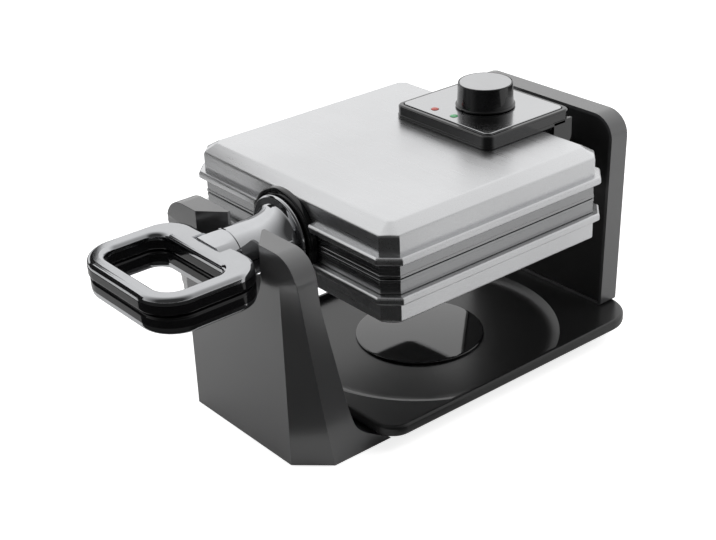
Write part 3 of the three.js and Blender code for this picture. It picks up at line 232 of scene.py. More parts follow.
def polished_metal(tree, shader, place, colour, roughness):
    """Chrome or bare metal with faint haze and fine handling marks."""
    haze = noise(tree, place, 60.0, 4.0, 0.6)
    marks = noise(tree, mapped(tree, place, (900.0, 900.0, 120.0)), 1.0, 2.0)
    set_colour(tree, shader, haze, colour, 0.03)
    rough = ranged(tree, haze, roughness * 0.8, roughness * 1.3)
    set_surface(
        tree, shader, {"Metallic": 1.0}, Roughness=rough, Normal=bumped(tree, marks, 0.012, 0.0002)
    )


def cast_metal(tree, shader, place, colour, roughness, grain=700.0):
    """Cast or heat-marked metal with a fine sandy skin."""
    sand = noise(tree, place, grain, 3.0, 0.6)
    clouds = noise(tree, place, 35.0)
    set_colour(tree, shader, clouds, colour, 0.12)
    rough = ranged(tree, clouds, roughness * 0.85, roughness * 1.15)
    set_surface(tree, shader, {"Metallic": 0.9}, Roughness=rough, Normal=bumped(tree, sand, 0.25))


def gloss_plastic(tree, shader, place, colour, roughness=0.09, coat=0.4):
    """Smooth lacquered plastic with a slight waviness and dust-fine scratches."""
    waves = noise(tree, place, 45.0, 2.0)
    dust = noise(tree, place, 600.0, 4.0, 0.7)
    set_colour(tree, shader, waves, colour, 0.08)
    rough = ranged(tree, dust, roughness * 0.8, roughness * 1.5, 0.35, 0.75)
    values = {"Coat Weight": coat, "Coat Roughness": 0.05}
    set_surface(tree, shader, values, Roughness=rough, Normal=bumped(tree, waves, 0.02, 0.002))


def moulded_plastic(tree, shader, place, colour, roughness, gloss=0.0, grain=1500.0, depth=0.12):
    """Moulded plastic with a fine spark-eroded grain and, where it is glossier, a clear skin."""
    skin = noise(tree, place, grain, 2.0)
    clouds = noise(tree, place, 14.0)
    set_colour(tree, shader, clouds, colour, 0.07)
    rough = ranged(tree, clouds, roughness * 0.92, roughness * 1.08)
    values = {"Coat Weight": gloss, "Coat Roughness": 0.22, "Coat IOR": 1.9}
    set_surface(tree, shader, values, Roughness=rough, Normal=bumped(tree, skin, depth))


def coated_metal(tree, shader, place, colour):
    """Non-stick coating: dark, faintly speckled, with a low sheen."""
    flecks = noise(tree, place, 2200.0, 1.0)
    bright = ranged(tree, flecks, 0.0, 1.0, 0.66, 0.78)
    mixed = tinted(tree, bright, colour, scaled(colour, 6.0))
    tree.links.new(mixed, shader.inputs["Base Color"])
    rough = ranged(tree, noise(tree, place, 20.0), 0.32, 0.42)
    set_surface(tree, shader, {"Metallic": 0.2}, Roughness=rough, Normal=bumped(tree, flecks, 0.06))


def lens_plastic(tree, shader, place, colour, glow):
    """Coloured clear plastic of a lamp, lit a little from below."""
    prisms = noise(tree, place, 500.0, 1.0)
    set_colour(tree, shader, prisms, colour, 0.15)
    values = {"Roughness": 0.08, "Transmission Weight": 0.35, "Emission Strength": glow}
    values["Emission Color"] = (*colour, 1.0)
    set_surface(tree, shader, values, Normal=bumped(tree, prisms, 0.1))


def pale_floor(tree, shader, place, colour):
    """Matt floor that the camera sees a little lighter than it is lit."""
    set_colour(tree, shader, noise(tree, place, 3.0), colour, 0.01)
    seen = tree.nodes.new("ShaderNodeLightPath").outputs["Is Camera Ray"]
    values = {"Roughness": 0.6, "Emission Color": (1.0, 1.0, 1.0, 1.0)}
    set_surface(tree, shader, values)
    tree.links.new(ranged(tree, seen, 0.0, 0.8, 0.0, 1.0), shader.inputs["Emission Strength"])


# How each finish is made: the maker, a colour or the name of one that can be changed, the factor
# on that colour, and what else the maker takes

FINISHES = {
    "shell_steel": (brushed_metal, "steel", 1.0, 0.3, (25.0, 2600.0, 2600.0)),
    "rim_steel": (brushed_metal, "steel", 0.52, 0.24, (25.0, 25.0, 3200.0)),
    "panel_silver": (brushed_metal, "steel", 0.84, 0.16, (20.0, 1500.0, 1500.0), 0.03),
    "cap_aluminium": (brushed_metal, "steel", 0.82, 0.34, (30.0, 2600.0, 2600.0)),
    "reflector_sheet": (brushed_metal, (0.6, 0.61, 0.62), 1.0, 0.35, (1200.0, 30.0, 1200.0)),
    "neck_chrome": (polished_metal, "chrome", 0.8, 0.07),
    "trim_chrome": (polished_metal, "chrome", 0.7, 0.09),
    "zinc_steel": (polished_metal, (0.52, 0.53, 0.55), 1.0, 0.3),
    "spindle_brass": (polished_metal, (0.62, 0.47, 0.2), 1.0, 0.25),
    "bracket_casting": (cast_metal, (0.13, 0.13, 0.135), 1.0, 0.42),
    "element_sheath": (cast_metal, (0.19, 0.17, 0.16), 1.0, 0.45, 400.0),
    "loop_black": (gloss_plastic, "gloss_black", 1.0, 0.09, 0.0),
    "box_black": (gloss_plastic, "gloss_black", 1.3, 0.07, 0.8),
    "disc_black": (gloss_plastic, "gloss_black", 1.5, 0.04, 1.0),
    "knob_black": (gloss_plastic, "gloss_black", 1.2, 0.16),
    "collar_black": (gloss_plastic, "gloss_black", 1.0, 0.14),
    "stand_plastic": (moulded_plastic, "stand_grey", 1.0, 0.36, 1.0),
    "tray_plastic": (moulded_plastic, "stand_grey", 0.17, 0.3, 0.2),
    "cover_plastic": (moulded_plastic, "stand_grey", 0.3, 0.3),
    "pan_plastic": (moulded_plastic, "stand_grey", 0.45, 0.5),
    "gland_rubber": (moulded_plastic, (0.012, 0.012, 0.012), 1.0, 0.75, 0.0, 900.0, 0.2),
    "foot_rubber": (moulded_plastic, (0.015, 0.015, 0.015), 1.0, 0.8, 0.0, 700.0, 0.25),
    "nylon_natural": (moulded_plastic, (0.62, 0.6, 0.54), 1.0, 0.5, 0.0, 900.0),
    "thermostat_ceramic": (moulded_plastic, (0.7, 0.67, 0.6), 1.0, 0.6, 0.0, 800.0, 0.3),
    "card_black": (moulded_plastic, (0.01, 0.01, 0.01), 1.0, 0.9, 0.0, 300.0),
    "plate_coating": (coated_metal, "coating", 1.0),
    "red_lens": (lens_plastic, (0.8, 0.3, 0.28), 1.0, 0.35),
    "green_lens": (lens_plastic, (0.3, 0.66, 0.4), 1.0, 0.35),
    "floor_white": (pale_floor, "floor", 1.0),
}


def finish(name):
    """The finish of that name, made the first time that it is asked for."""
    found = bpy.data.materials.get(name)
    if found:
        return found
    maker, colour, factor, *rest = FINISHES[name]
    if isinstance(colour, str):
        colour = tuple(getattr(bpy.context.scene.waffle_maker_colours, colour))
    material = bpy.data.materials.new(name)
    material.use_nodes = True
    tree = material.node_tree
    tree.nodes.clear()
    output = tree.nodes.new("ShaderNodeOutputMaterial")
    shader = tree.nodes.new("ShaderNodeBsdfPrincipled")
    tree.links.new(shader.outputs["BSDF"], output.inputs["Surface"])
    place = tree.nodes.new("ShaderNodeTexCoord").outputs["Object"]
    maker(tree, shader, place, scaled(colour, factor), *rest)
    return material


# Outlines


def rectangle(x0, x1, y0, y1):
    return [(x0, y0), (x1, y0), (x1, y1), (x0, y1)]


def chamfered(half_x, half_y, c):
    """A rectangle's outline with its corners cut off."""
    right = [(half_x - c, -half_y), (half_x, c - half_y), (half_x, half_y - c), (half_x - c, half_y)]
    left = [(c - half_x, half_y), (-half_x, half_y - c), (-half_x, c - half_y), (c - half_x, -half_y)]
    return right + left


def octagon(growth):
    """The head's outline with its chamfered corners, grown outwards."""
    corner = HEAD_CORNER + growth * (2.0 - math.sqrt(2.0))
    return chamfered(HEAD_HALF_X + growth, HEAD_HALF_Y + growth, corner)


def rounded_points(x_span, y_span, low_radius, high_radius, steps):
    """A rectangle with one radius for its low-Y corners and one for its high-Y corners."""
    (x0, x1), (y0, y1) = x_span, y_span
    points = []
    for cx, cy, radius, start in (
        (x1 - low_radius, y0 + low_radius, low_radius, -90),
        (x1 - high_radius, y1 - high_radius, high_radius, 0),
        (x0 + high_radius, y1 - high_radius, high_radius, 90),
        (x0 + low_radius, y0 + low_radius, low_radius, 180),
    ):
        for step in range(steps + 1):
            turn = math.radians(start + 90.0 * step / steps)
            points.append((cx + radius * math.cos(turn), cy + radius * math.sin(turn)))
    return points


def arc(centre, radius, start, end, steps):
    """Points of an arc as (x, y) pairs, angles in degrees."""
    turns = [math.radians(start + (end - start) * i / steps) for i in range(steps + 1)]
    return [(centre[0] + radius * math.cos(t), centre[1] + radius * math.sin(t)) for t in turns]


def oval(centre, half_x, half_y, angles):
    """Points of an ellipse as (x, y) pairs at angles in degrees."""
    turns = [math.radians(angle) for angle in angles]
    return [(centre[0] + half_x * math.cos(t), centre[1] + half_y * math.sin(t)) for t in turns]


# Meshes, in millimetres until a piece is placed


def prism(points, low, high):
    """A closed prism and its top and bottom faces."""
    mesh = bmesh.new()
    bottom = mesh.faces.new([mesh.verts.new((x, y, low)) for x, y in points])
    made = bmesh.ops.extrude_face_region(mesh, geom=[bottom])
    top = next(item for item in made["geom"] if isinstance(item, bmesh.types.BMFace))
    bmesh.ops.translate(mesh, vec=(0.0, 0.0, high - low), verts=top.verts)
    bmesh.ops.recalc_face_normals(mesh, faces=mesh.faces)
    return mesh, top, bottom


def extruded(points, low, high):
    return prism(points, low, high)[0]


def block(x0, x1, y0, y1, low, high):
    return extruded(rectangle(x0, x1, y0, y1), low, high)


def cuboid(wide, deep, tall):
    """A box round the origin."""
    mesh = bmesh.new()
    bmesh.ops.create_cube(mesh, size=1.0)
    bmesh.ops.scale(mesh, vec=(wide, deep, tall), verts=mesh.verts)
    return mesh


def lifted(mesh, face, rise):
    """The face pulled along Z, with walls round it."""
    made = bmesh.ops.extrude_discrete_faces(mesh, faces=[face])["faces"][0]
    bmesh.ops.translate(mesh, vec=(0.0, 0.0, rise), verts=made.verts)
    return made


def step_in(mesh, face, inset, depth=0.0):
    """Draws the face's border in and moves the face along its normal."""
    bmesh.ops.inset_region(
        mesh, faces=[face], thickness=inset, depth=depth, use_even_offset=True, use_boundary=True
    )


def ring_prism(outer, inner, low, high):
    """A closed ring between two outlines with as many corners each."""
    mesh = bmesh.new()
    loops = []
    for points in (outer, inner):
        verts = [mesh.verts.new((x, y, low)) for x, y in points]
        loops += [mesh.edges.new((a, b)) for a, b in zip(verts, verts[1:] + verts[:1])]
    faces = bmesh.ops.bridge_loops(mesh, edges=loops)["faces"]
    made = bmesh.ops.extrude_face_region(mesh, geom=faces)["geom"]
    verts = [item for item in made if isinstance(item, bmesh.types.BMVert)]
    bmesh.ops.translate(mesh, vec=(0.0, 0.0, high - low), verts=verts)
    bmesh.ops.recalc_face_normals(mesh, faces=mesh.faces)
    return mesh


def turned(profile, steps, axis="Y", closed=False):
    """A profile of (radius, along) pairs turned about Y or Z."""
    mesh = bmesh.new()
    place = (lambda r, a: (r, a, 0.0)) if axis == "Y" else (lambda r, a: (r, 0.0, a))
    verts = [mesh.verts.new(place(r, a)) for r, a in profile]
    pairs = list(zip(verts, verts[1:])) + ([(verts[-1], verts[0])] if closed else [])
    edges = [mesh.edges.new(pair) for pair in pairs]
    bmesh.ops.spin(
        mesh, geom=verts + edges, cent=(0.0, 0.0, 0.0),
        axis=(0.0, 1.0, 0.0) if axis == "Y" else (0.0, 0.0, 1.0),
        angle=math.tau, steps=steps, use_merge=True,
    )
    bmesh.ops.remove_doubles(mesh, verts=mesh.verts, dist=1e-4)
    bmesh.ops.recalc_face_normals(mesh, faces=mesh.faces)
    return mesh


def cylinder(radius, low, high, steps, axis="Y"):
    return turned([(0.0, low), (radius, low), (radius, high), (0.0, high)], steps, axis)


def screw_hole(low, seat, high):
    """The room for an upright screw: for its head up to the seat, then for its shank."""
    profile = [(0.0, low), (3.7, low), (3.7, seat), (1.9, seat), (1.9, high), (0.0, high)]
    return turned(profile, 32, "Z")


def softened(mesh, radius, limit=25.0, steps=3, keep=None):
    """Rounds the edges sharper than the limit in degrees."""
    edges = [
        edge
        for edge in mesh.edges
        if edge.is_manifold
        and edge.calc_face_angle(0.0) > math.radians(limit)
        and (keep is None or keep(edge))
    ]
    bmesh.ops.bevel(
        mesh, geom=edges, offset=radius, affect="EDGES", segments=steps, profile=0.5, material=-1,
        clamp_overlap=True, loop_slide=True,
    )
    return mesh


def halved(mesh):
    """What lies above the parting plane, with its cut closed."""
    cut_edges = bmesh.ops.bisect_plane(
        mesh, geom=mesh.verts[:] + mesh.edges[:] + mesh.faces[:],
        plane_co=(0.0, 0.0, PARTING_GAP), plane_no=(0.0, 0.0, 1.0), clear_inner=True,
    )["geom_cut"]
    edges = [item for item in cut_edges if isinstance(item, bmesh.types.BMEdge)]
    bmesh.ops.holes_fill(mesh, edges=edges, sides=0)
    bmesh.ops.recalc_face_normals(mesh, faces=mesh.faces)
    return mesh


def rotated(mesh, matrix):
    bmesh.ops.rotate(mesh, cent=(0.0, 0.0, 0.0), matrix=matrix, verts=mesh.verts)
    return mesh


def quarter_turned(mesh, degrees, axis):
    return rotated(mesh, Matrix.Rotation(math.radians(degrees), 3, axis))


def stood(mesh):
    """Turns a mesh drawn in X and Y into one drawn in X and Z, raised along -Y."""
    return quarter_turned(mesh, 90.0, "X")


def along_x(points, low, high):
    """A prism drawn in Y and Z and raised along X."""
    matrix = Matrix(((0.0, 0.0, 1.0), (1.0, 0.0, 0.0), (0.0, 1.0, 0.0)))
    return rotated(extruded(points, low, high), matrix)


def along_y(points, low, high):
    """A prism drawn in X and Z and raised along Y."""
    return stood(extruded(points, -high, -low))


def moved(mesh, x=0.0, y=0.0, z=0.0):
    bmesh.ops.translate(mesh, vec=(x, y, z), verts=mesh.verts)
    return mesh


def mesh_data(mesh, name):
    data = bpy.data.meshes.new(name)
    mesh.to_mesh(data)
    mesh.free()
    return data


def linked(name, data):
    """A new object of the data in the scene."""
    made = bpy.data.objects.new(name, data)
    bpy.context.scene.collection.objects.link(made)
    return made


def merged(first, *others):
    """One mesh that holds all of them."""
    for other in others:
        data = mesh_data(other, "part")
        first.from_mesh(data)
        bpy.data.meshes.remove(data)
    return first


def combined(mesh, other, operation):
    """The mesh cut by, joined to or limited to another one."""
    base = linked("base", mesh_data(mesh, "base"))
    tool = linked("tool", mesh_data(other, "tool"))
    modifier = base.modifiers.new("combine", "BOOLEAN")
    modifier.operation = operation
    modifier.solver = "EXACT"
    modifier.object = tool
    graph = bpy.context.evaluated_depsgraph_get()
    data = bpy.data.meshes.new_from_object(base.evaluated_get(graph))
    result = bmesh.new()
    result.from_mesh(data)
    bpy.data.meshes.remove(data)
    for item in (base, tool):
        data = item.data
        bpy.data.objects.remove(item)
        bpy.data.meshes.remove(data)
    return result


def cut(mesh, *tools):
    """The mesh without what each of the tools takes away."""
    for tool in tools:
        mesh = combined(mesh, tool, "DIFFERENCE")
    return mesh


def flattened(mesh, limit=0.5):
    """Merges the flat faces that a cut leaves split."""
    bmesh.ops.remove_doubles(mesh, verts=mesh.verts, dist=1e-3)
    bmesh.ops.dissolve_limit(
        mesh, angle_limit=math.radians(limit), verts=mesh.verts, edges=mesh.edges
    )
    return mesh


# Pieces


def set_finish(node, material):
    """Gives a node of the frame its finish."""
    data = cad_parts[node].data
    data.materials.clear()
    data.materials.append(finish(material))


def add_piece(mesh, name, material, body, node, slot, smooth=35.0, weighted=True):
    """Makes a piece of the mesh, in metres, that rides on a body and stands for a node.

    The node gets the same finish. Folds sharper than the smooth angle stay sharp.
    """
    bmesh.ops.scale(mesh, vec=(MM, MM, MM), verts=mesh.verts)
    mesh.edges.index_update()
    creases = [edge.index for edge in mesh.edges if not edge.smooth]
    data = mesh_data(mesh, name)
    data.materials.append(finish(material))
    data.shade_smooth()
    data.set_sharp_from_angle(angle=math.radians(smooth))
    for index in creases:
        data.edges[index].use_edge_sharp = True
    piece = linked(name, data)
    if weighted:
        modifier = piece.modifiers.new("flat faces stay flat", "WEIGHTED_NORMAL")
        modifier.keep_sharp = True
    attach(piece, body)
    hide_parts(node)
    set_finish(node, material)


def placed_half(mesh, sign):
    """Moves a mesh from a half's own frame to the head, mirrored for the lower half."""
    if sign < 0:
        bmesh.ops.scale(mesh, vec=(1.0, 1.0, -1.0), verts=mesh.verts)
        bmesh.ops.reverse_faces(mesh, faces=mesh.faces)
    bmesh.ops.translate(mesh, vec=HEAD_CENTRE / MM, verts=mesh.verts)
    return mesh


def add_half(mesh, side, name, node, material, slot, **options):
    """Adds a piece that either half has, drawn in the half's own frame."""
    mesh = placed_half(mesh, HALVES[side])
    body, node = f"{side}_half", f"{side}_{node}"
    add_piece(mesh, f"{side}_{name}", material, body, node, slot, **options)


def add_upper(mesh, name, material, body, node, slot, **options):
    """Adds a piece that is drawn in the upper half's frame, whichever body it rides on."""
    add_piece(placed_half(mesh, 1), name, material, body, node, slot, **options)


def add_base(mesh, name, material, node, slot, **options):
    """Adds a piece of the base, drawn with Y from the middle of the head."""
    add_piece(moved(mesh, y=HEAD_CENTRE.y / MM), name, material, "base", node, slot, **options)


# Head


def shell_half(sizes):
    """A folded shell with its lip."""
    crease_z, lip_top = 26.8, 17.0
    mesh, top, bottom = prism(octagon(4.3), 11.7, 14.8)
    step_in(mesh, top, 1.2, 1.2)
    step_in(mesh, top, 3.1)
    top = lifted(mesh, top, 12.8)
    step_in(mesh, top, 9.6, 5.9)
    step_in(mesh, bottom, 1.2, 1.2)
    step_in(mesh, bottom, 5.1)
    bottom = lifted(mesh, bottom, 16.3)
    step_in(mesh, bottom, 9.6, -5.9)

    def beyond(vert):
        return max(abs(vert.co.x) - HEAD_HALF_X, abs(vert.co.y) - HEAD_HALF_Y)

    def is_outer_fold(edge):
        return all(vert.co.z > 20.0 and abs(vert.co.z - crease_z) > 1.0 for vert in edge.verts)

    def is_lip(edge):
        return all(vert.co.z < lip_top and beyond(vert) > -8.9 for vert in edge.verts) and any(
            beyond(vert) > 2.0 for vert in edge.verts
        )

    softened(mesh, sizes.shell_edge / MM, keep=is_outer_fold)
    return softened(mesh, sizes.lip_edge / MM, keep=is_lip, steps=2)


def neck_hole():
    return moved(cylinder(14.3, -12.0, 2.3, 64), y=-HEAD_HALF_Y)


class WAFFLE_OT_shells(bpy.types.Operator):
    """Make the brushed steel shells of both halves, with folded edges and rounded lips"""

    bl_idname = "waffle.shells"
    bl_label = "Head Shells"

    def execute(self, context):
        for side in HALVES:
            collar_seat = moved(cylinder(31.8, -12.0, 0.0, 96), y=-HEAD_HALF_Y)
            mesh = cut(shell_half(context.scene.waffle_maker_sizes), collar_seat, neck_hole())
            if side == "upper":
                well = rounded_points((-4.0, 22.0), (60.5, 86.5), 1.0, 1.0, 3)
                mesh = cut(mesh, extruded(well, 25.8, 46.7))
            add_half(flattened(mesh), side, "shell_folded", "shell", "shell_steel", "brushed_steel")
        return {"FINISHED"}


class WAFFLE_OT_rims(bpy.types.Operator):
    """Make the straight steel rims below the lips, with a rolled edge at the parting line"""

    bl_idname = "waffle.rims"
    bl_label = "Head Rims"

    def execute(self, context):
        edge = context.scene.waffle_maker_sizes.lip_edge / MM
        for side in HALVES:
            bead = ring_prism(octagon(0.0), octagon(-2.0), PARTING_GAP, 2.5)
            softened(bead, 0.6, limit=50.0, steps=4)
            wall = ring_prism(octagon(-0.4), octagon(-1.9), 1.4, 10.2)
            softened(wall, edge, limit=50.0, steps=2)
            mesh = flattened(cut(combined(wall, bead, "UNION"), neck_hole()))
            add_half(mesh, side, "rim_rolled", "rim", "rim_steel", "dark_steel")
        return {"FINISHED"}


class WAFFLE_OT_plates(bpy.types.Operator):
    """Make the waffle plates, each with its drafted well, pegs and score ribs"""

    bl_idname = "waffle.plates"
    bl_label = "Waffle Plates"

    def execute(self, context):
        well_x, well_y, well_corner, well_depth, draft = 88.5, 82.5, 8.0, 13.0, 2.5
        corners = chamfered(well_x, well_y, well_corner)
        span_x, span_y = (well_x - draft) * 2.0, (well_y - draft) * 2.0
        count = 8
        peg_z = PLATE_TIP + PEG_HEIGHT / 2.0

        def is_tip(edge):
            return any(vert.co.z < 0.0 for vert in edge.verts)

        for side in HALVES:
            mesh, bottom = prism(octagon(-2.3), PARTING_GAP, 16.0)[::2]
            step_in(mesh, bottom, 9.2)
            for vert in bottom.verts:
                vert.co.x, vert.co.y = min(
                    corners, key=lambda c: (c[0] - vert.co.x) ** 2 + (c[1] - vert.co.y) ** 2
                )
            step_in(mesh, bottom, draft, -well_depth)
            parts = [softened(mesh, 1.1)]
            for i in range(count):
                for j in range(count):
                    peg = cuboid(10.0, 10.0, PEG_HEIGHT)
                    foot = [vert for vert in peg.verts if vert.co.z > 0.0]
                    bmesh.ops.scale(peg, vec=(1.3, 1.3, 1.0), verts=foot)
                    softened(peg, 1.3, steps=2, keep=is_tip)
                    x = ((i + 0.5) / count - 0.5) * span_x
                    y = ((j + 0.5) / count - 0.5) * span_y
                    parts.append(moved(peg, x, y, peg_z))
            for wide, deep in ((3.0, well_y * 2.0 - 2.0), (well_x * 2.0 - 2.0, 3.0)):
                rib = softened(cuboid(wide, deep, PEG_HEIGHT), 0.6, steps=2, keep=is_tip)
                parts.append(moved(rib, z=peg_z))
            add_half(merged(*parts), side, "plate_grid", "plate", "plate_coating", "coated_plate")
        return {"FINISHED"}


# Necks, collars and handles


class WAFFLE_OT_collars(bpy.types.Operator):
    """Make the black collar halves round the neck"""

    bl_idname = "waffle.collars"
    bl_label = "Collars"

    def execute(self, context):
        profile = [(14.3, -94.3), (14.3, -98.5), (28.0, -98.5), (28.6, -97.9), (29.2, -98.5)]
        profile += arc((30.3, -97.3), 1.2, -90, 0, 5) + [(31.5, -94.3)]
        for side in HALVES:
            mesh = halved(turned(profile, context.scene.waffle_maker_sizes.turned_steps, closed=True))
            add_half(
                mesh, side, "collar_disc", "collar", "collar_black", "black_plastic", weighted=False
            )
        return {"FINISHED"}


def neck_tongue():
    """The flat tongue that runs from the neck into the back bar of the loop."""
    outline = [(-139.0, 0.5), (-139.0, 18.0), (-141.0, 17.0), (-149.0, 15.4), (-156.2, 13.8)]
    outline += [(-156.2, 5.3), (-144.7, 5.3), (-144.7, 0.5)]
    barrel = moved(cylinder(17.0, -30.0, 30.0, 96), y=-145.0)
    mesh = combined(along_x(outline, -15.0, 15.0), barrel, "INTERSECT")
    return softened(flattened(mesh), 0.8, limit=40.0)


class WAFFLE_OT_necks(bpy.types.Operator):
    """Make the chrome neck halves with ring, flare and tongue"""

    bl_idname = "waffle.necks"
    bl_label = "Necks"

    def execute(self, context):
        profile = [(0.0, NECK_END), (17.1, NECK_END), (17.5, NECK_END + 0.4), (17.5, -120.4)]
        profile += [
            (22.5 - 5.0 * math.cos(math.radians(t)), -120.4 + 18.0 * math.sin(math.radians(t)))
            for t in range(10, 91, 10)
        ]
        profile += arc((25.7, -100.6), 1.8, -90, 90, 8)
        profile += [(14.0, -98.8), (14.0, -92.0), (0.0, -92.0)]
        for side in HALVES:
            neck = halved(turned(profile, context.scene.waffle_maker_sizes.turned_steps))
            add_half(merged(neck, neck_tongue()), side, "neck_flared", "neck", "neck_chrome", "chrome")
        return {"FINISHED"}


def loop_ring(reach, inset, low, high, steps):
    """A ring along a handle's loop, an inset narrower than the loop on both sides."""
    half, hole = 49.5 - inset, 38.0 + inset
    outer = rounded_points(
        (-half, half), (inset - reach, -145.0 - inset), 24.0 - inset, 20.0 - inset, steps
    )
    inner = rounded_points(
        (-hole, hole), (11.5 - inset - reach, inset - 165.8), 12.5 + inset, 10.0 + inset, steps
    )
    return ring_prism(outer, inner, low, high)


def tongue_gap():
    return block(-15.3, 15.3, -156.5, -133.0, 5.0, 22.8)


class WAFFLE_OT_handles(bpy.types.Operator):
    """Make the glossy handle loops and the bright trims let into their tops"""

    bl_idname = "waffle.handles"
    bl_label = "Handles"

    def execute(self, context):
        sizes = context.scene.waffle_maker_sizes
        steps = sizes.arc_steps

        def is_top(edge):
            return min(vert.co.z for vert in edge.verts) > 12.0

        for side, reach in HANDLE_REACHES.items():
            loop = loop_ring(reach, 0.0, PARTING_GAP, 12.3, steps)
            softened(loop, sizes.handle_edge / MM, limit=60.0, steps=5)
            loop = flattened(cut(loop, loop_ring(reach, -1.0, 7.2, 20.0, steps), tongue_gap()), 0.05)
            add_half(loop, side, "handle_loop", "handle", "loop_black", "gloss_black", smooth=40.0)
            trim = loop_ring(reach, 0.25, 7.4, 12.6, steps)
            softened(trim, 3.6, limit=60.0, steps=6, keep=is_top)
            trim = flattened(cut(trim, tongue_gap()), 0.05)
            add_half(trim, side, "handle_inlay", "handle_trim", "trim_chrome", "chrome", smooth=40.0)
        return {"FINISHED"}


# Control box


def box_points(inset, radius, steps):
    x_span, y_span = (BOX_LEFT + inset, BOX_RIGHT - inset), (32.0 + inset, 113.0 - inset)
    return rounded_points(x_span, y_span, radius, radius, steps)


class WAFFLE_OT_control_box(bpy.types.Operator):
    """Make the control box with its cheeks, its panel and its two lamps"""

    bl_idname = "waffle.control_box"
    bl_label = "Control Box"

    def execute(self, context):
        steps = context.scene.waffle_maker_sizes.arc_steps
        box, top, bottom = prism(box_points(0.0, 7.0, steps), 35.0, 37.2)
        step_in(box, top, 0.5)
        top = lifted(box, top, 5.8)
        step_in(box, top, 1.0, 1.0)
        step_in(box, top, 2.5)
        lifted(box, top, -1.2)
        step_in(box, bottom, 2.4)
        lifted(box, bottom, 5.4)
        parts = [softened(box, 0.35, limit=30.0, steps=2)]
        cheek = [(112.8, 37.4), (95.2, 37.4)] + arc((PIN_Y, PIN_Z), 8.8, 180, 360, 24)
        for x0 in (BOX_LEFT, BOX_RIGHT - 2.4):
            parts.append(softened(along_x(cheek, x0, x0 + 2.4), 0.2, limit=40.0, steps=2))
        box = merged(*parts)
        add_upper(box, "control_box_cover", "box_black", "upper_half", "control_box", "gloss_black")
        panel = softened(extruded(box_points(4.3, 4.2, steps), 43.1, 44.7), 0.4, limit=40.0)
        for x, y, radius in ((*KNOB_PLACE, 3.6), *((x, LAMP_Y, 2.9) for x in LAMPS.values())):
            panel = cut(panel, moved(cylinder(radius, 30.0, 60.0, 48, "Z"), x, y))
        add_upper(
            flattened(panel), "control_panel_plate", "panel_silver", "upper_half", "control_panel",
            "brushed_steel",
        )
        profile = [(0.0, 39.1), (4.0, 39.1), (4.0, 40.1), (2.6, 40.1), (2.6, 44.9)]
        profile += oval((0.0, 44.9), 2.6, 0.5, (15, 30, 45, 60, 75)) + [(0.0, 45.4)]
        for colour, x in LAMPS.items():
            lens = moved(turned(profile, 48, "Z"), x, LAMP_Y)
            name, glass = f"lamp_{colour}", f"{colour}_lens"
            add_upper(lens, f"{name}_dome", glass, "upper_half", name, glass, weighted=False)
        return {"FINISHED"}


class WAFFLE_OT_knob(bpy.types.Operator):
    """Make the thermostat knob and its brushed cap"""

    bl_idname = "waffle.knob"
    bl_label = "Knob"

    def execute(self, context):
        steps = context.scene.waffle_maker_sizes.turned_steps
        base, top = 45.2, 62.0
        profile = [(0.0, base), (20.2, base), (20.6, base + 0.4), (20.6, base + 1.2)]
        profile += [(20.2, base + 1.6), (19.6, base + 1.7), (19.5, base + 2.4), (18.8, top - 1.2)]
        profile += arc((18.2, top - 0.6), 0.6, 0, 90, 6)
        profile += [(18.1, top), (18.1, top - 1.2), (0.0, top - 1.2)]
        dial = moved(turned(profile, steps, "Z"), *KNOB_PLACE)
        add_upper(dial, "knob_dial", "knob_black", "knob", "knob", "black_plastic", weighted=False)
        profile = [(0.0, top - 0.9), (17.9, top - 0.9), (17.9, top - 0.3), (17.6, top), (0.0, top)]
        cap = moved(turned(profile, steps, "Z"), *KNOB_PLACE)
        add_upper(cap, "knob_cap_disc", "cap_aluminium", "knob", "knob_cap", "aluminium_sheet")
        return {"FINISHED"}


# Base


def blended(p, q, r, s, t):
    """A value on the smooth curve through four values, at the share t of the way from q to r."""
    square, cube = 2 * p - 5 * q + 4 * r - s, 3 * q - p - 3 * r + s
    return 0.5 * (2 * q + (r - p) * t + square * t * t + cube * t**3)


def side_curve():
    """The stand's back edge as (y, z) pairs from the top down, drawn smoothly through its points."""
    points = []
    steps = 5
    spots = [STAND_SIDE[0], *STAND_SIDE, STAND_SIDE[-1]]
    for a, b, c, d in zip(spots, spots[1:], spots[2:], spots[3:]):
        for step in range(steps):
            y, z = (blended(p, q, r, s, step / steps) for p, q, r, s in zip(a, b, c, d))
            points.append((y + STAND_FRONT, z))
    return points + [(STAND_SIDE[-1][0] + STAND_FRONT, STAND_SIDE[-1][1])]


def side_prism(half, spill=0.0):
    """The stand's side view raised along X, spilling over at its top and foot."""
    outline = [(STAND_FRONT, 0.0 - spill), *reversed(side_curve()), (STAND_FRONT, STAND_TOP + spill)]
    return along_x(outline, -half, half)


def stand_front_points(inset):
    half, top, radius = 70.0 - inset, STAND_TOP - inset, 20.0 - inset
    points = [(-half - 2.0, 0.0), (half + 2.0, 0.0)]
    points += arc((half - radius, top - radius), radius, 0, 90, 14)
    return points + arc((radius - half, top - radius), radius, 90, 180, 14)


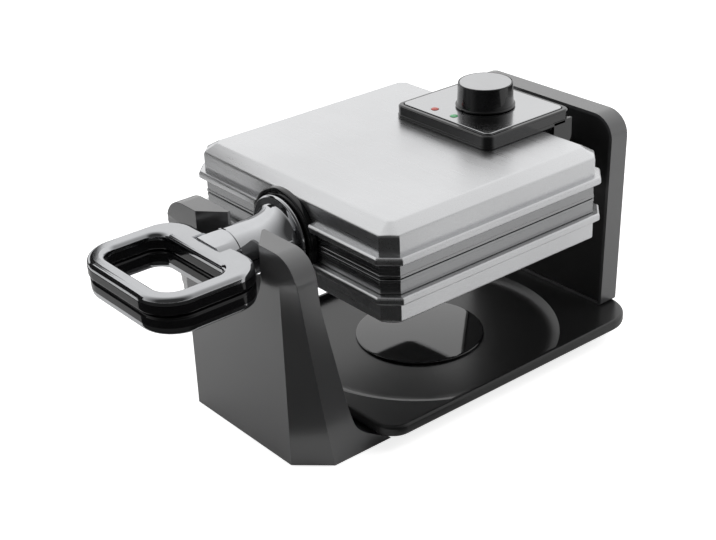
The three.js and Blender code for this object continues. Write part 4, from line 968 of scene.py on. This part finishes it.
def facet_wedge(side, inset):
    """What the slanted facet takes from a front corner of the stand."""
    reach, levels, front = 32.0, 24, inset + STAND_FRONT

    def depth(height):
        return 18.5 * (1.0 - height / FACET_HEIGHT) * reach / 17.5

    near, far, ahead = FACET_FOLD, FACET_FOLD + reach, front - 12.0
    outline = [(near, ahead), (far, ahead), (far, front + depth(0.0)), (near, front)]
    mesh, top = prism(outline, -12.0, 0.0)[:2]
    for level in range(1, levels + 1):
        top = lifted(mesh, top, FACET_HEIGHT / levels)
        corner = max(top.verts, key=lambda vert: vert.co.x + vert.co.y)
        corner.co.y = front + depth(FACET_HEIGHT * level / levels)
    bmesh.ops.triangulate(mesh, faces=[face for face in mesh.faces if face.normal.y > 0.3])
    if side < 0:
        bmesh.ops.scale(mesh, vec=(-1.0, 1.0, 1.0), verts=mesh.verts)
    bmesh.ops.recalc_face_normals(mesh, faces=mesh.faces)
    return mesh


def facet_wedges(inset):
    return facet_wedge(1, inset), facet_wedge(-1, inset)


def cradle(growth):
    """The room for the neck: a U with a flared mouth at the front."""
    bore_radius, lead_in, mouth_depth = 18.3, 34.0, 14.0
    mouth, throat, back = -152.5, -126.5, -72.0
    radius = bore_radius + growth
    wide = lead_in + growth + (lead_in - bore_radius) / mouth_depth * 12.0
    half = [(wide, mouth), (radius, throat), (radius, back)]
    bore = moved(turned([(0.0, mouth), *half, (0.0, back)], 96), z=AXIS_HEIGHT)
    slot = extruded(
        [(-wide, mouth), *half, (-radius, back), (-radius, throat)], AXIS_HEIGHT, AXIS_HEIGHT + 31.0
    )
    return combined(bore, slot, "UNION")


class WAFFLE_OT_front_stand(bpy.types.Operator):
    """Make the horned front stand with its cradle and corner facets, and the cover on its back"""

    bl_idname = "waffle.front_stand"
    bl_label = "Front Stand"

    def execute(self, context):
        edge_radius = context.scene.waffle_maker_sizes.stand_edge / MM
        wall, clearance = 3.0, 0.3
        mesh = combined(side_prism(72.0), along_y(stand_front_points(0.0), -152.0, 12.0), "INTERSECT")
        below = along_y(rectangle(-90.0, 90.0, -12.0, 0.5), -160.0, 12.0)
        mesh = flattened(cut(mesh, *facet_wedges(0.0), cradle(0.0), below), 0.2)

        def is_facet_fold(edge):
            return all(
                abs(abs(vert.co.x) - FACET_FOLD) < 0.3 and vert.co.y < STAND_FRONT + 0.1
                for vert in edge.verts
            )

        softened(mesh, edge_radius, limit=22.0, keep=lambda edge: not is_facet_fold(edge))
        room = along_y(stand_front_points(wall), STAND_FRONT + wall, 12.0)
        room = combined(room, block(-90.0, 90.0, -150.0, 12.0, -12.0, STAND_TOP - wall), "INTERSECT")
        mesh = cut(mesh, cut(room, *facet_wedges(wall), cradle(wall)))
        for edge in mesh.edges:
            edge.smooth = not is_facet_fold(edge)
        add_base(
            mesh, "front_stand_horned", "stand_plastic", "front_stand", "grey_plastic", smooth=30.0
        )

        inset = wall + clearance
        strip = cut(side_prism(68.7), moved(side_prism(80.0, 20.0), y=-wall))
        strip = combined(strip, along_y(stand_front_points(inset), -137.0, 12.0), "INTERSECT")
        limits = block(-90.0, 90.0, -150.0, 12.0, 1.5, STAND_TOP - inset)
        strip = flattened(combined(cut(strip, cradle(inset)), limits, "INTERSECT"), 1.0)
        softened(strip, 0.4, limit=40.0, steps=2)
        floor = along_x([(-137.2, 1.5), (-74.2, 1.5), (-79.2, 4.5), (-137.2, 4.5)], -69.0, 69.0)
        floor = cut(floor, *facet_wedges(inset))
        for x in (-28.0, 28.0):
            floor = cut(floor, moved(screw_hole(-2.0, 3.6, 9.0), x, -104.0))
        cover = merged(strip, floor)
        add_base(cover, "front_stand_back", "stand_plastic", "front_stand_cover", "grey_plastic")
        return {"FINISHED"}


class WAFFLE_OT_tray(bpy.types.Operator):
    """Make the base tray with its drip dish, and the glossy disc in its middle"""

    bl_idname = "waffle.tray"
    bl_label = "Tray"

    def execute(self, context):
        sizes = context.scene.waffle_maker_sizes
        top, disc_edge, disc_top, dome = 20.0, 45.2, 18.45, 1.15
        outline = rounded_points((-90.0, 90.0), (-88.0, 150.0), 15.0, 26.0, sizes.arc_steps)
        tray = softened(extruded(outline, 12.0, top), sizes.tray_edge / MM, limit=60.0, steps=5)
        profile = [(0.0, 15.6), (88.0, 15.6), (90.5, 15.7), (93.0, 16.15), (95.5, 17.1), (98.0, 18.6)]
        profile += [(100.0, top), (100.0, 32.0), (0.0, 32.0)]
        dish = moved(turned(profile, 192, "Z"), y=DISH_Y)
        limits = block(-86.5, 86.5, -110.0, 150.0, 10.0, 40.0)
        tray = flattened(cut(tray, combined(dish, limits, "INTERSECT")))

        def is_rim(edge):
            return all(vert.co.z > top - 0.1 and abs(vert.co.x) < 87.0 for vert in edge.verts)

        softened(tray, 0.7, limit=20.0, keep=is_rim)
        for x in (-45.0, 45.0):
            tray = cut(tray, moved(screw_hole(5.0, 14.1, 30.0), x, 142.8))
        add_base(tray, "base_tray_dished", "tray_plastic", "base_tray", "grey_plastic", smooth=30.0)
        profile = [(0.0, 15.9), (45.6, 15.9), (46.0, 16.2), (46.0, 16.5)]
        profile += arc((disc_edge, 16.5), 0.8, 0, 86, 5)[1:]
        profile += [(r, disc_top - dome * (r / disc_edge) ** 2) for r in range(44, -1, -4)]
        disc = moved(turned(profile, sizes.turned_steps, "Z"), y=DISH_Y)
        add_base(disc, "base_disc_glossy", "disc_black", "base_disc", "gloss_black")
        return {"FINISHED"}


def rear_points(inset, steps):
    """The rear stand's front view, a little wider at its top than at its foot."""
    half, foot, top, widening = 70.0 - inset, 20.3, 167.0, 0.03
    points = rounded_points((-half, half), (foot + inset, top - inset), 2.0, 17.0 - inset, steps)
    middle, half_height = (foot + top) / 2.0, (top - foot) / 2.0
    return [(x * (1.0 + widening * (z - middle) / half_height), z) for x, z in points]


class WAFFLE_OT_rear_stand(bpy.types.Operator):
    """Make the upright rear stand and the dark cover let into its face"""

    bl_idname = "waffle.rear_stand"
    bl_label = "Rear Stand"

    def execute(self, context):
        sizes = context.scene.waffle_maker_sizes
        steps = sizes.arc_steps
        body, top = prism(rear_points(0.0, steps), -150.0, -134.0)[:2]
        step_in(body, top, 2.5)
        lifted(body, top, -13.5)
        softened(
            body, sizes.stand_edge / MM, limit=60.0, steps=4,
            keep=lambda edge: min(vert.co.z for vert in edge.verts) > -151.0,
        )
        body = flattened(cut(stood(body), moved(cylinder(5.8, 130.0, 160.0, 48), **GLAND_PLACE)))
        add_base(body, "rear_stand_upright", "stand_plastic", "rear_stand", "grey_plastic")
        cover = softened(along_y(rear_points(2.8, steps), 135.0, 137.2), 0.3, limit=60.0, steps=2)
        cover = cut(cover, moved(cylinder(14.6, 120.0, 145.0, 96), z=AXIS_HEIGHT))
        add_base(cover, "rear_stand_face", "cover_plastic", "rear_stand_cover", "black_plastic")
        return {"FINISHED"}


# Hinge, shaft and small parts


class WAFFLE_OT_hinge(bpy.types.Operator):
    """Make the cast hinge bracket with its slotted lugs, the pin and the hollow rear shaft"""

    bl_idname = "waffle.hinge"
    bl_label = "Hinge"

    def execute(self, context):
        back, lug = PIN_Y, 6.0
        plate = block(BRACKET_LEFT, BRACKET_RIGHT, 99.2, back, -30.0, 20.1)
        mesh = combined(plate, block(-30.0, 30.0, 94.3, back, -30.0, -16.3), "UNION")
        for x0 in (BRACKET_LEFT, BRACKET_RIGHT - lug):
            eye = along_x(rounded_points((98.4, 109.6), (20.4, 34.6), 5.59, 5.59, 10), x0, x0 + lug)
            web = along_x(rectangle(98.4, 106.8, 0.0, 27.0), x0, x0 + lug)
            mesh = combined(mesh, combined(eye, web, "UNION"), "UNION")
        slot = along_x(rounded_points((101.2, 106.8), (23.2, 31.8), 2.79, 2.79, 8), -40.0, 60.0)
        mesh = cut(mesh, slot, cylinder(8.0, 90.0, 120.0, 64))
        for x in (-20.0, 20.0):
            mesh = cut(mesh, moved(cylinder(1.9, 80.0, 120.0, 32), x=x, z=BRACKET_SCREW_Z))
        mesh = softened(flattened(mesh, 1.0), 0.45, limit=40.0, steps=2)
        name, slot = "hinge_bracket", "cast_aluminium"
        add_upper(mesh, f"{name}_cast", "bracket_casting", "lower_half", name, slot)
        profile = [(0.0, -38.3), (2.1, -38.3), (2.5, -37.9), (2.5, 51.9), (2.1, 52.3), (0.0, 52.3)]
        pin = moved(quarter_turned(turned(profile, 32), -90.0, "Z"), y=PIN_Y, z=PIN_Z)
        name, zinc = "hinge_pin", "zinc_steel"
        add_upper(pin, f"{name}_turned", zinc, name, name, zinc, weighted=False)
        profile = [(8.0, 104.3), (13.1, 104.3), (13.5, 104.7), (13.5, 106.4), (13.1, 106.8)]
        profile += [(11.0, 106.8), (11.0, 142.15), (10.0, 142.15), (10.0, 143.65), (11.0, 143.65)]
        profile += [(11.0, 145.5), (10.5, 146.0), (8.0, 146.0)]
        shaft = turned(profile, 96, closed=True)
        add_upper(shaft, "rear_shaft_turned", zinc, "lower_half", "rear_shaft", zinc)
        return {"FINISHED"}


def screw_mesh(length):
    """A cross-recessed screw that points along +Z from the underside of its head."""
    shank, root, pitch = 1.6, 1.35, 1.2
    profile = [(0.0, -1.8), (2.2, -1.75), (3.0, -1.3), (3.4, -0.6), (3.4, 0.0), (shank, 0.0)]
    for i in range(int((length - 1.0) / pitch)):
        profile += [(shank, 0.5 + i * pitch), (root, 0.8 + i * pitch), (root, 1.1 + i * pitch)]
    profile += [(shank, length - 0.6), (1.1, length), (0.0, length)]
    mesh = turned(profile, 24, "Z")
    for wide, deep in ((3.4, 0.7), (0.7, 3.4)):
        mesh = cut(mesh, moved(cuboid(wide, deep, 2.4), z=-1.8))
    return mesh


class WAFFLE_OT_small_parts(bpy.types.Operator):
    """Make the screws, the rubber feet and the cord gland"""

    bl_idname = "waffle.small_parts"
    bl_label = "Screws, Feet and Gland"

    def execute(self, context):
        screw = {"material": "zinc_steel", "slot": "zinc_steel", "weighted": False}
        for side, sign in SIDES.items():
            for kind, x, y, seat, length in (
                ("front_stand_screw", 28.0, -104.0, 3.3, 7.0),
                ("tray_screw", 52.0, 118.0, 4.8, 11.4),
                ("rear_stand_screw", 45.0, 142.8, 13.8, 14.2),
            ):
                node = f"{kind}_{side}"
                mesh = moved(screw_mesh(length), sign * x, y, seat)
                add_base(mesh, f"{node}_cross", node=node, **screw)
            node = f"bracket_screw_{side}"
            mesh = moved(stood(screw_mesh(11.8)), sign * 20.0, 104.3, BRACKET_SCREW_Z)
            add_upper(mesh, f"{node}_cross", body="lower_half", node=node, **screw)
            node = f"control_box_screw_{side}"
            mesh = moved(screw_mesh(7.7), -29.1 if sign < 0 else 43.1, 42.4, 32.4)
            add_upper(mesh, f"{node}_cross", body="upper_half", node=node, **screw)
            for end, y, height in (("front", -112.0, 1.2), ("rear", 112.0, 2.7)):
                bevel = min(0.5, height / 3.0)
                profile = [(0.0, 0.0), (9.0 - bevel, 0.0), (9.0 - bevel * 0.3, bevel * 0.3)]
                profile += [(9.0, bevel), (9.0, height), (0.0, height)]
                node = f"{end}_foot_{side}"
                foot = moved(turned(profile, 48, "Z"), sign * 50.0, y)
                add_base(foot, f"{node}_pad", "foot_rubber", node, "rubber")
        profile = [(3.4, 145.2), (7.6, 145.2), (8.0, 145.6), (8.0, 147.2), (5.5, 147.2), (5.5, 150.3)]
        profile += [(8.0, 150.3), (8.0, 151.3), (7.5, 152.0), (4.4, 152.0), (3.4, 151.2)]
        gland = moved(turned(profile, 64, closed=True), **GLAND_PLACE)
        add_base(gland, "cord_gland_round", "gland_rubber", "cord_gland", "rubber", weighted=False)
        return {"FINISHED"}


# Finishes of the nodes that show as they are

NODE_FINISHES = {
    "base_pan": "pan_plastic",
    "rear_bush": "nylon_natural",
    "terminal_block": "nylon_natural",
    "shaft_stop_disc": "zinc_steel",
    "shaft_retaining_ring": "zinc_steel",
    "upper_heating_element": "element_sheath",
    "lower_heating_element": "element_sheath",
    "upper_reflector": "reflector_sheet",
    "lower_reflector": "reflector_sheet",
    "thermostat_body": "thermostat_ceramic",
    "thermostat_contact": "spindle_brass",
    "thermostat_spindle": "spindle_brass",
    "thermal_fuse": "nylon_natural",
}


class WAFFLE_OT_node_finishes(bpy.types.Operator):
    """Give the nodes of the frame that no piece stands for their finishes"""

    bl_idname = "waffle.node_finishes"
    bl_label = "Frame Finishes"

    def execute(self, context):
        for node, material in NODE_FINISHES.items():
            set_finish(node, material)
        return {"FINISHED"}


# Studio, in metres

BLACK_CARDS = {
    "front_card": ((0.08, -0.12, 0.002), (0.0, 0.0, 36.0), 1.0),
    "back_card": ((-0.13, 0.12, 0.002), (0.0, 0.0, -130.0), 1.0),
    "side_card": ((-0.26, -0.065, 0.28), (0.0, 60.0, 0.0), 0.1),
    "right_card": ((0.2, 0.03, 0.002), (0.0, 0.0, 0.0), 0.09),
    "low_card": ((-0.28, -0.41, 0.32), (90.0, 0.0, -51.5), 0.16),
}  # the place of the middle of the +Y edge, turns in degrees, and half the width
SOFT_LAMPS = {
    "key_lamp": ((1.1, 1.2, 1.9), (0.0, 0.0, 0.1), 1.4, 19.0),
    "front_lamp": ((-0.7, -1.0, 1.2), (-0.15, -0.3, 0.0), 0.8, 6.0),
}  # place, target, width and power
DARK_SIDE = (0.70, -0.60, 0.38)
CAMERA_PLACE = (0.68361, -0.548, 0.52827)
CAMERA_ANGLES = {"heading": 0.8963224, "height": 0.4686561, "roll": -0.0413954}  # in radians
CAMERA_LENS = {"sensor_width": 36.0, "lens": 72.7, "clip_start": 0.01}


def camera_matrix(place, heading, height, roll):
    """A camera's matrix from where it stands and its angles."""
    level = math.cos(height)
    back = Vector((math.sin(heading) * level, -math.cos(heading) * level, math.sin(height)))
    right = Vector((math.cos(heading), math.sin(heading), 0.0))
    up = back.cross(right)
    tilted_right = right * math.cos(roll) + up * math.sin(roll)
    tilted_up = up * math.cos(roll) - right * math.sin(roll)
    matrix = Matrix((tilted_right, tilted_up, back)).transposed().to_4x4()
    matrix.translation = place
    return matrix


def add_lamp(name, place, target, width, power):
    """A soft square lamp that points at a target and that no reflection shows."""
    data = bpy.data.lights.new(name, "AREA")
    data.shape = "RECTANGLE"
    data.size = data.size_y = width
    data.energy = power
    lamp = linked(name, data)
    lamp.location = place
    lamp.rotation_euler = (Vector(target) - Vector(place)).to_track_quat("-Z", "Y").to_euler()
    lamp.visible_glossy = False


def sheet(name, size, material, shift=0.0):
    """A flat square of half that width each way, moved along Y."""
    mesh = bmesh.new()
    bmesh.ops.create_grid(mesh, x_segments=1, y_segments=1, size=size)
    made = linked(name, mesh_data(moved(mesh, y=shift), name))
    made.data.materials.append(finish(material))
    return made


def add_black_card(name, edge, turns, size):
    """A black card that only reflections show."""
    card = sheet(name, size, "card_black", -size)
    card.location = edge
    card.rotation_euler = [math.radians(turn) for turn in turns]
    card.visible_camera = False
    card.visible_diffuse = False
    card.visible_shadow = False


def graded_world(dark_side, bright, dark):
    """Surrounding light that fades from bright to dark towards one side, and a white backdrop."""
    world = bpy.data.worlds.new("studio_world")
    world.use_nodes = True
    tree = world.node_tree
    coordinates = tree.nodes.new("ShaderNodeTexCoord")
    along = tree.nodes.new("ShaderNodeVectorMath")
    along.operation = "DOT_PRODUCT"
    along.inputs[1].default_value = dark_side
    tree.links.new(coordinates.outputs["Generated"], along.inputs[0])
    graded = ranged(tree, along.outputs["Value"], bright, dark, -0.1, 0.8)
    path = tree.nodes.new("ShaderNodeLightPath")
    seen = tree.nodes.new("ShaderNodeMath")
    seen.operation = "MAXIMUM"
    tree.links.new(graded, seen.inputs[0])
    tree.links.new(path.outputs["Is Camera Ray"], seen.inputs[1])
    backdrop = tree.nodes["Background"]
    tree.links.new(seen.outputs["Value"], backdrop.inputs["Strength"])
    backdrop.inputs["Color"].default_value = (1.0, 1.0, 1.0, 1.0)
    return world


class WAFFLE_OT_stage(bpy.types.Operator):
    """Set up the pale floor, the soft lamps, the surrounding light and the camera"""

    bl_idname = "waffle.stage"
    bl_label = "Studio"

    def execute(self, context):
        scene = context.scene
        floor = sheet("studio_floor", 6.0, "floor_white")
        for name, card in BLACK_CARDS.items():
            add_black_card(name, *card)
        for name, lamp in SOFT_LAMPS.items():
            add_lamp(name, *lamp)
        scene.world = graded_world(DARK_SIDE, 0.95, 0.05)
        data = bpy.data.cameras.new("camera")
        for name, value in CAMERA_LENS.items():
            setattr(data, name, value)
        camera = linked("camera", data)
        camera.matrix_world = camera_matrix(CAMERA_PLACE, **CAMERA_ANGLES)
        scene.camera = camera
        scene.view_settings.view_transform = "Standard"
        return {"FINISHED"}


class WAFFLE_PT_panel(bpy.types.Panel):
    """Lists the pieces of the waffle maker and the sizes and colours that can be changed"""

    bl_idname = "WAFFLE_PT_panel"
    bl_label = "Waffle Maker"
    bl_space_type = "VIEW_3D"
    bl_region_type = "UI"
    bl_category = "Waffle Maker"

    def draw(self, context):
        layout = self.layout
        for group in (context.scene.waffle_maker_sizes, context.scene.waffle_maker_colours):
            column = layout.column(align=True)
            for name in group.bl_rna.properties.keys():
                if name not in ("rna_type", "name"):
                    column.prop(group, name)
        column = layout.column(align=True)
        for operator in OPERATORS:
            column.operator(operator.bl_idname)


OPERATORS = (
    WAFFLE_OT_stage,
    WAFFLE_OT_shells,
    WAFFLE_OT_rims,
    WAFFLE_OT_plates,
    WAFFLE_OT_collars,
    WAFFLE_OT_necks,
    WAFFLE_OT_handles,
    WAFFLE_OT_control_box,
    WAFFLE_OT_knob,
    WAFFLE_OT_front_stand,
    WAFFLE_OT_tray,
    WAFFLE_OT_rear_stand,
    WAFFLE_OT_hinge,
    WAFFLE_OT_small_parts,
    WAFFLE_OT_node_finishes,
)
CLASSES = (WaffleMakerSizes, WaffleMakerColours, *OPERATORS, WAFFLE_PT_panel)


def register():
    for cls in CLASSES:
        bpy.utils.register_class(cls)
    bpy.types.Scene.waffle_maker_sizes = PointerProperty(type=WaffleMakerSizes)
    bpy.types.Scene.waffle_maker_colours = PointerProperty(type=WaffleMakerColours)


def unregister():
    del bpy.types.Scene.waffle_maker_colours
    del bpy.types.Scene.waffle_maker_sizes
    for cls in reversed(CLASSES):
        bpy.utils.unregister_class(cls)


def main():
    register()
    bpy.ops.waffle.stage()
    bpy.ops.waffle.shells()
    bpy.ops.waffle.rims()
    bpy.ops.waffle.plates()
    bpy.ops.waffle.collars()
    bpy.ops.waffle.necks()
    bpy.ops.waffle.handles()
    bpy.ops.waffle.control_box()
    bpy.ops.waffle.knob()
    bpy.ops.waffle.front_stand()
    bpy.ops.waffle.tray()
    bpy.ops.waffle.rear_stand()
    bpy.ops.waffle.hinge()
    bpy.ops.waffle.small_parts()
    bpy.ops.waffle.node_finishes()


if __name__ == "__main__":
    main()
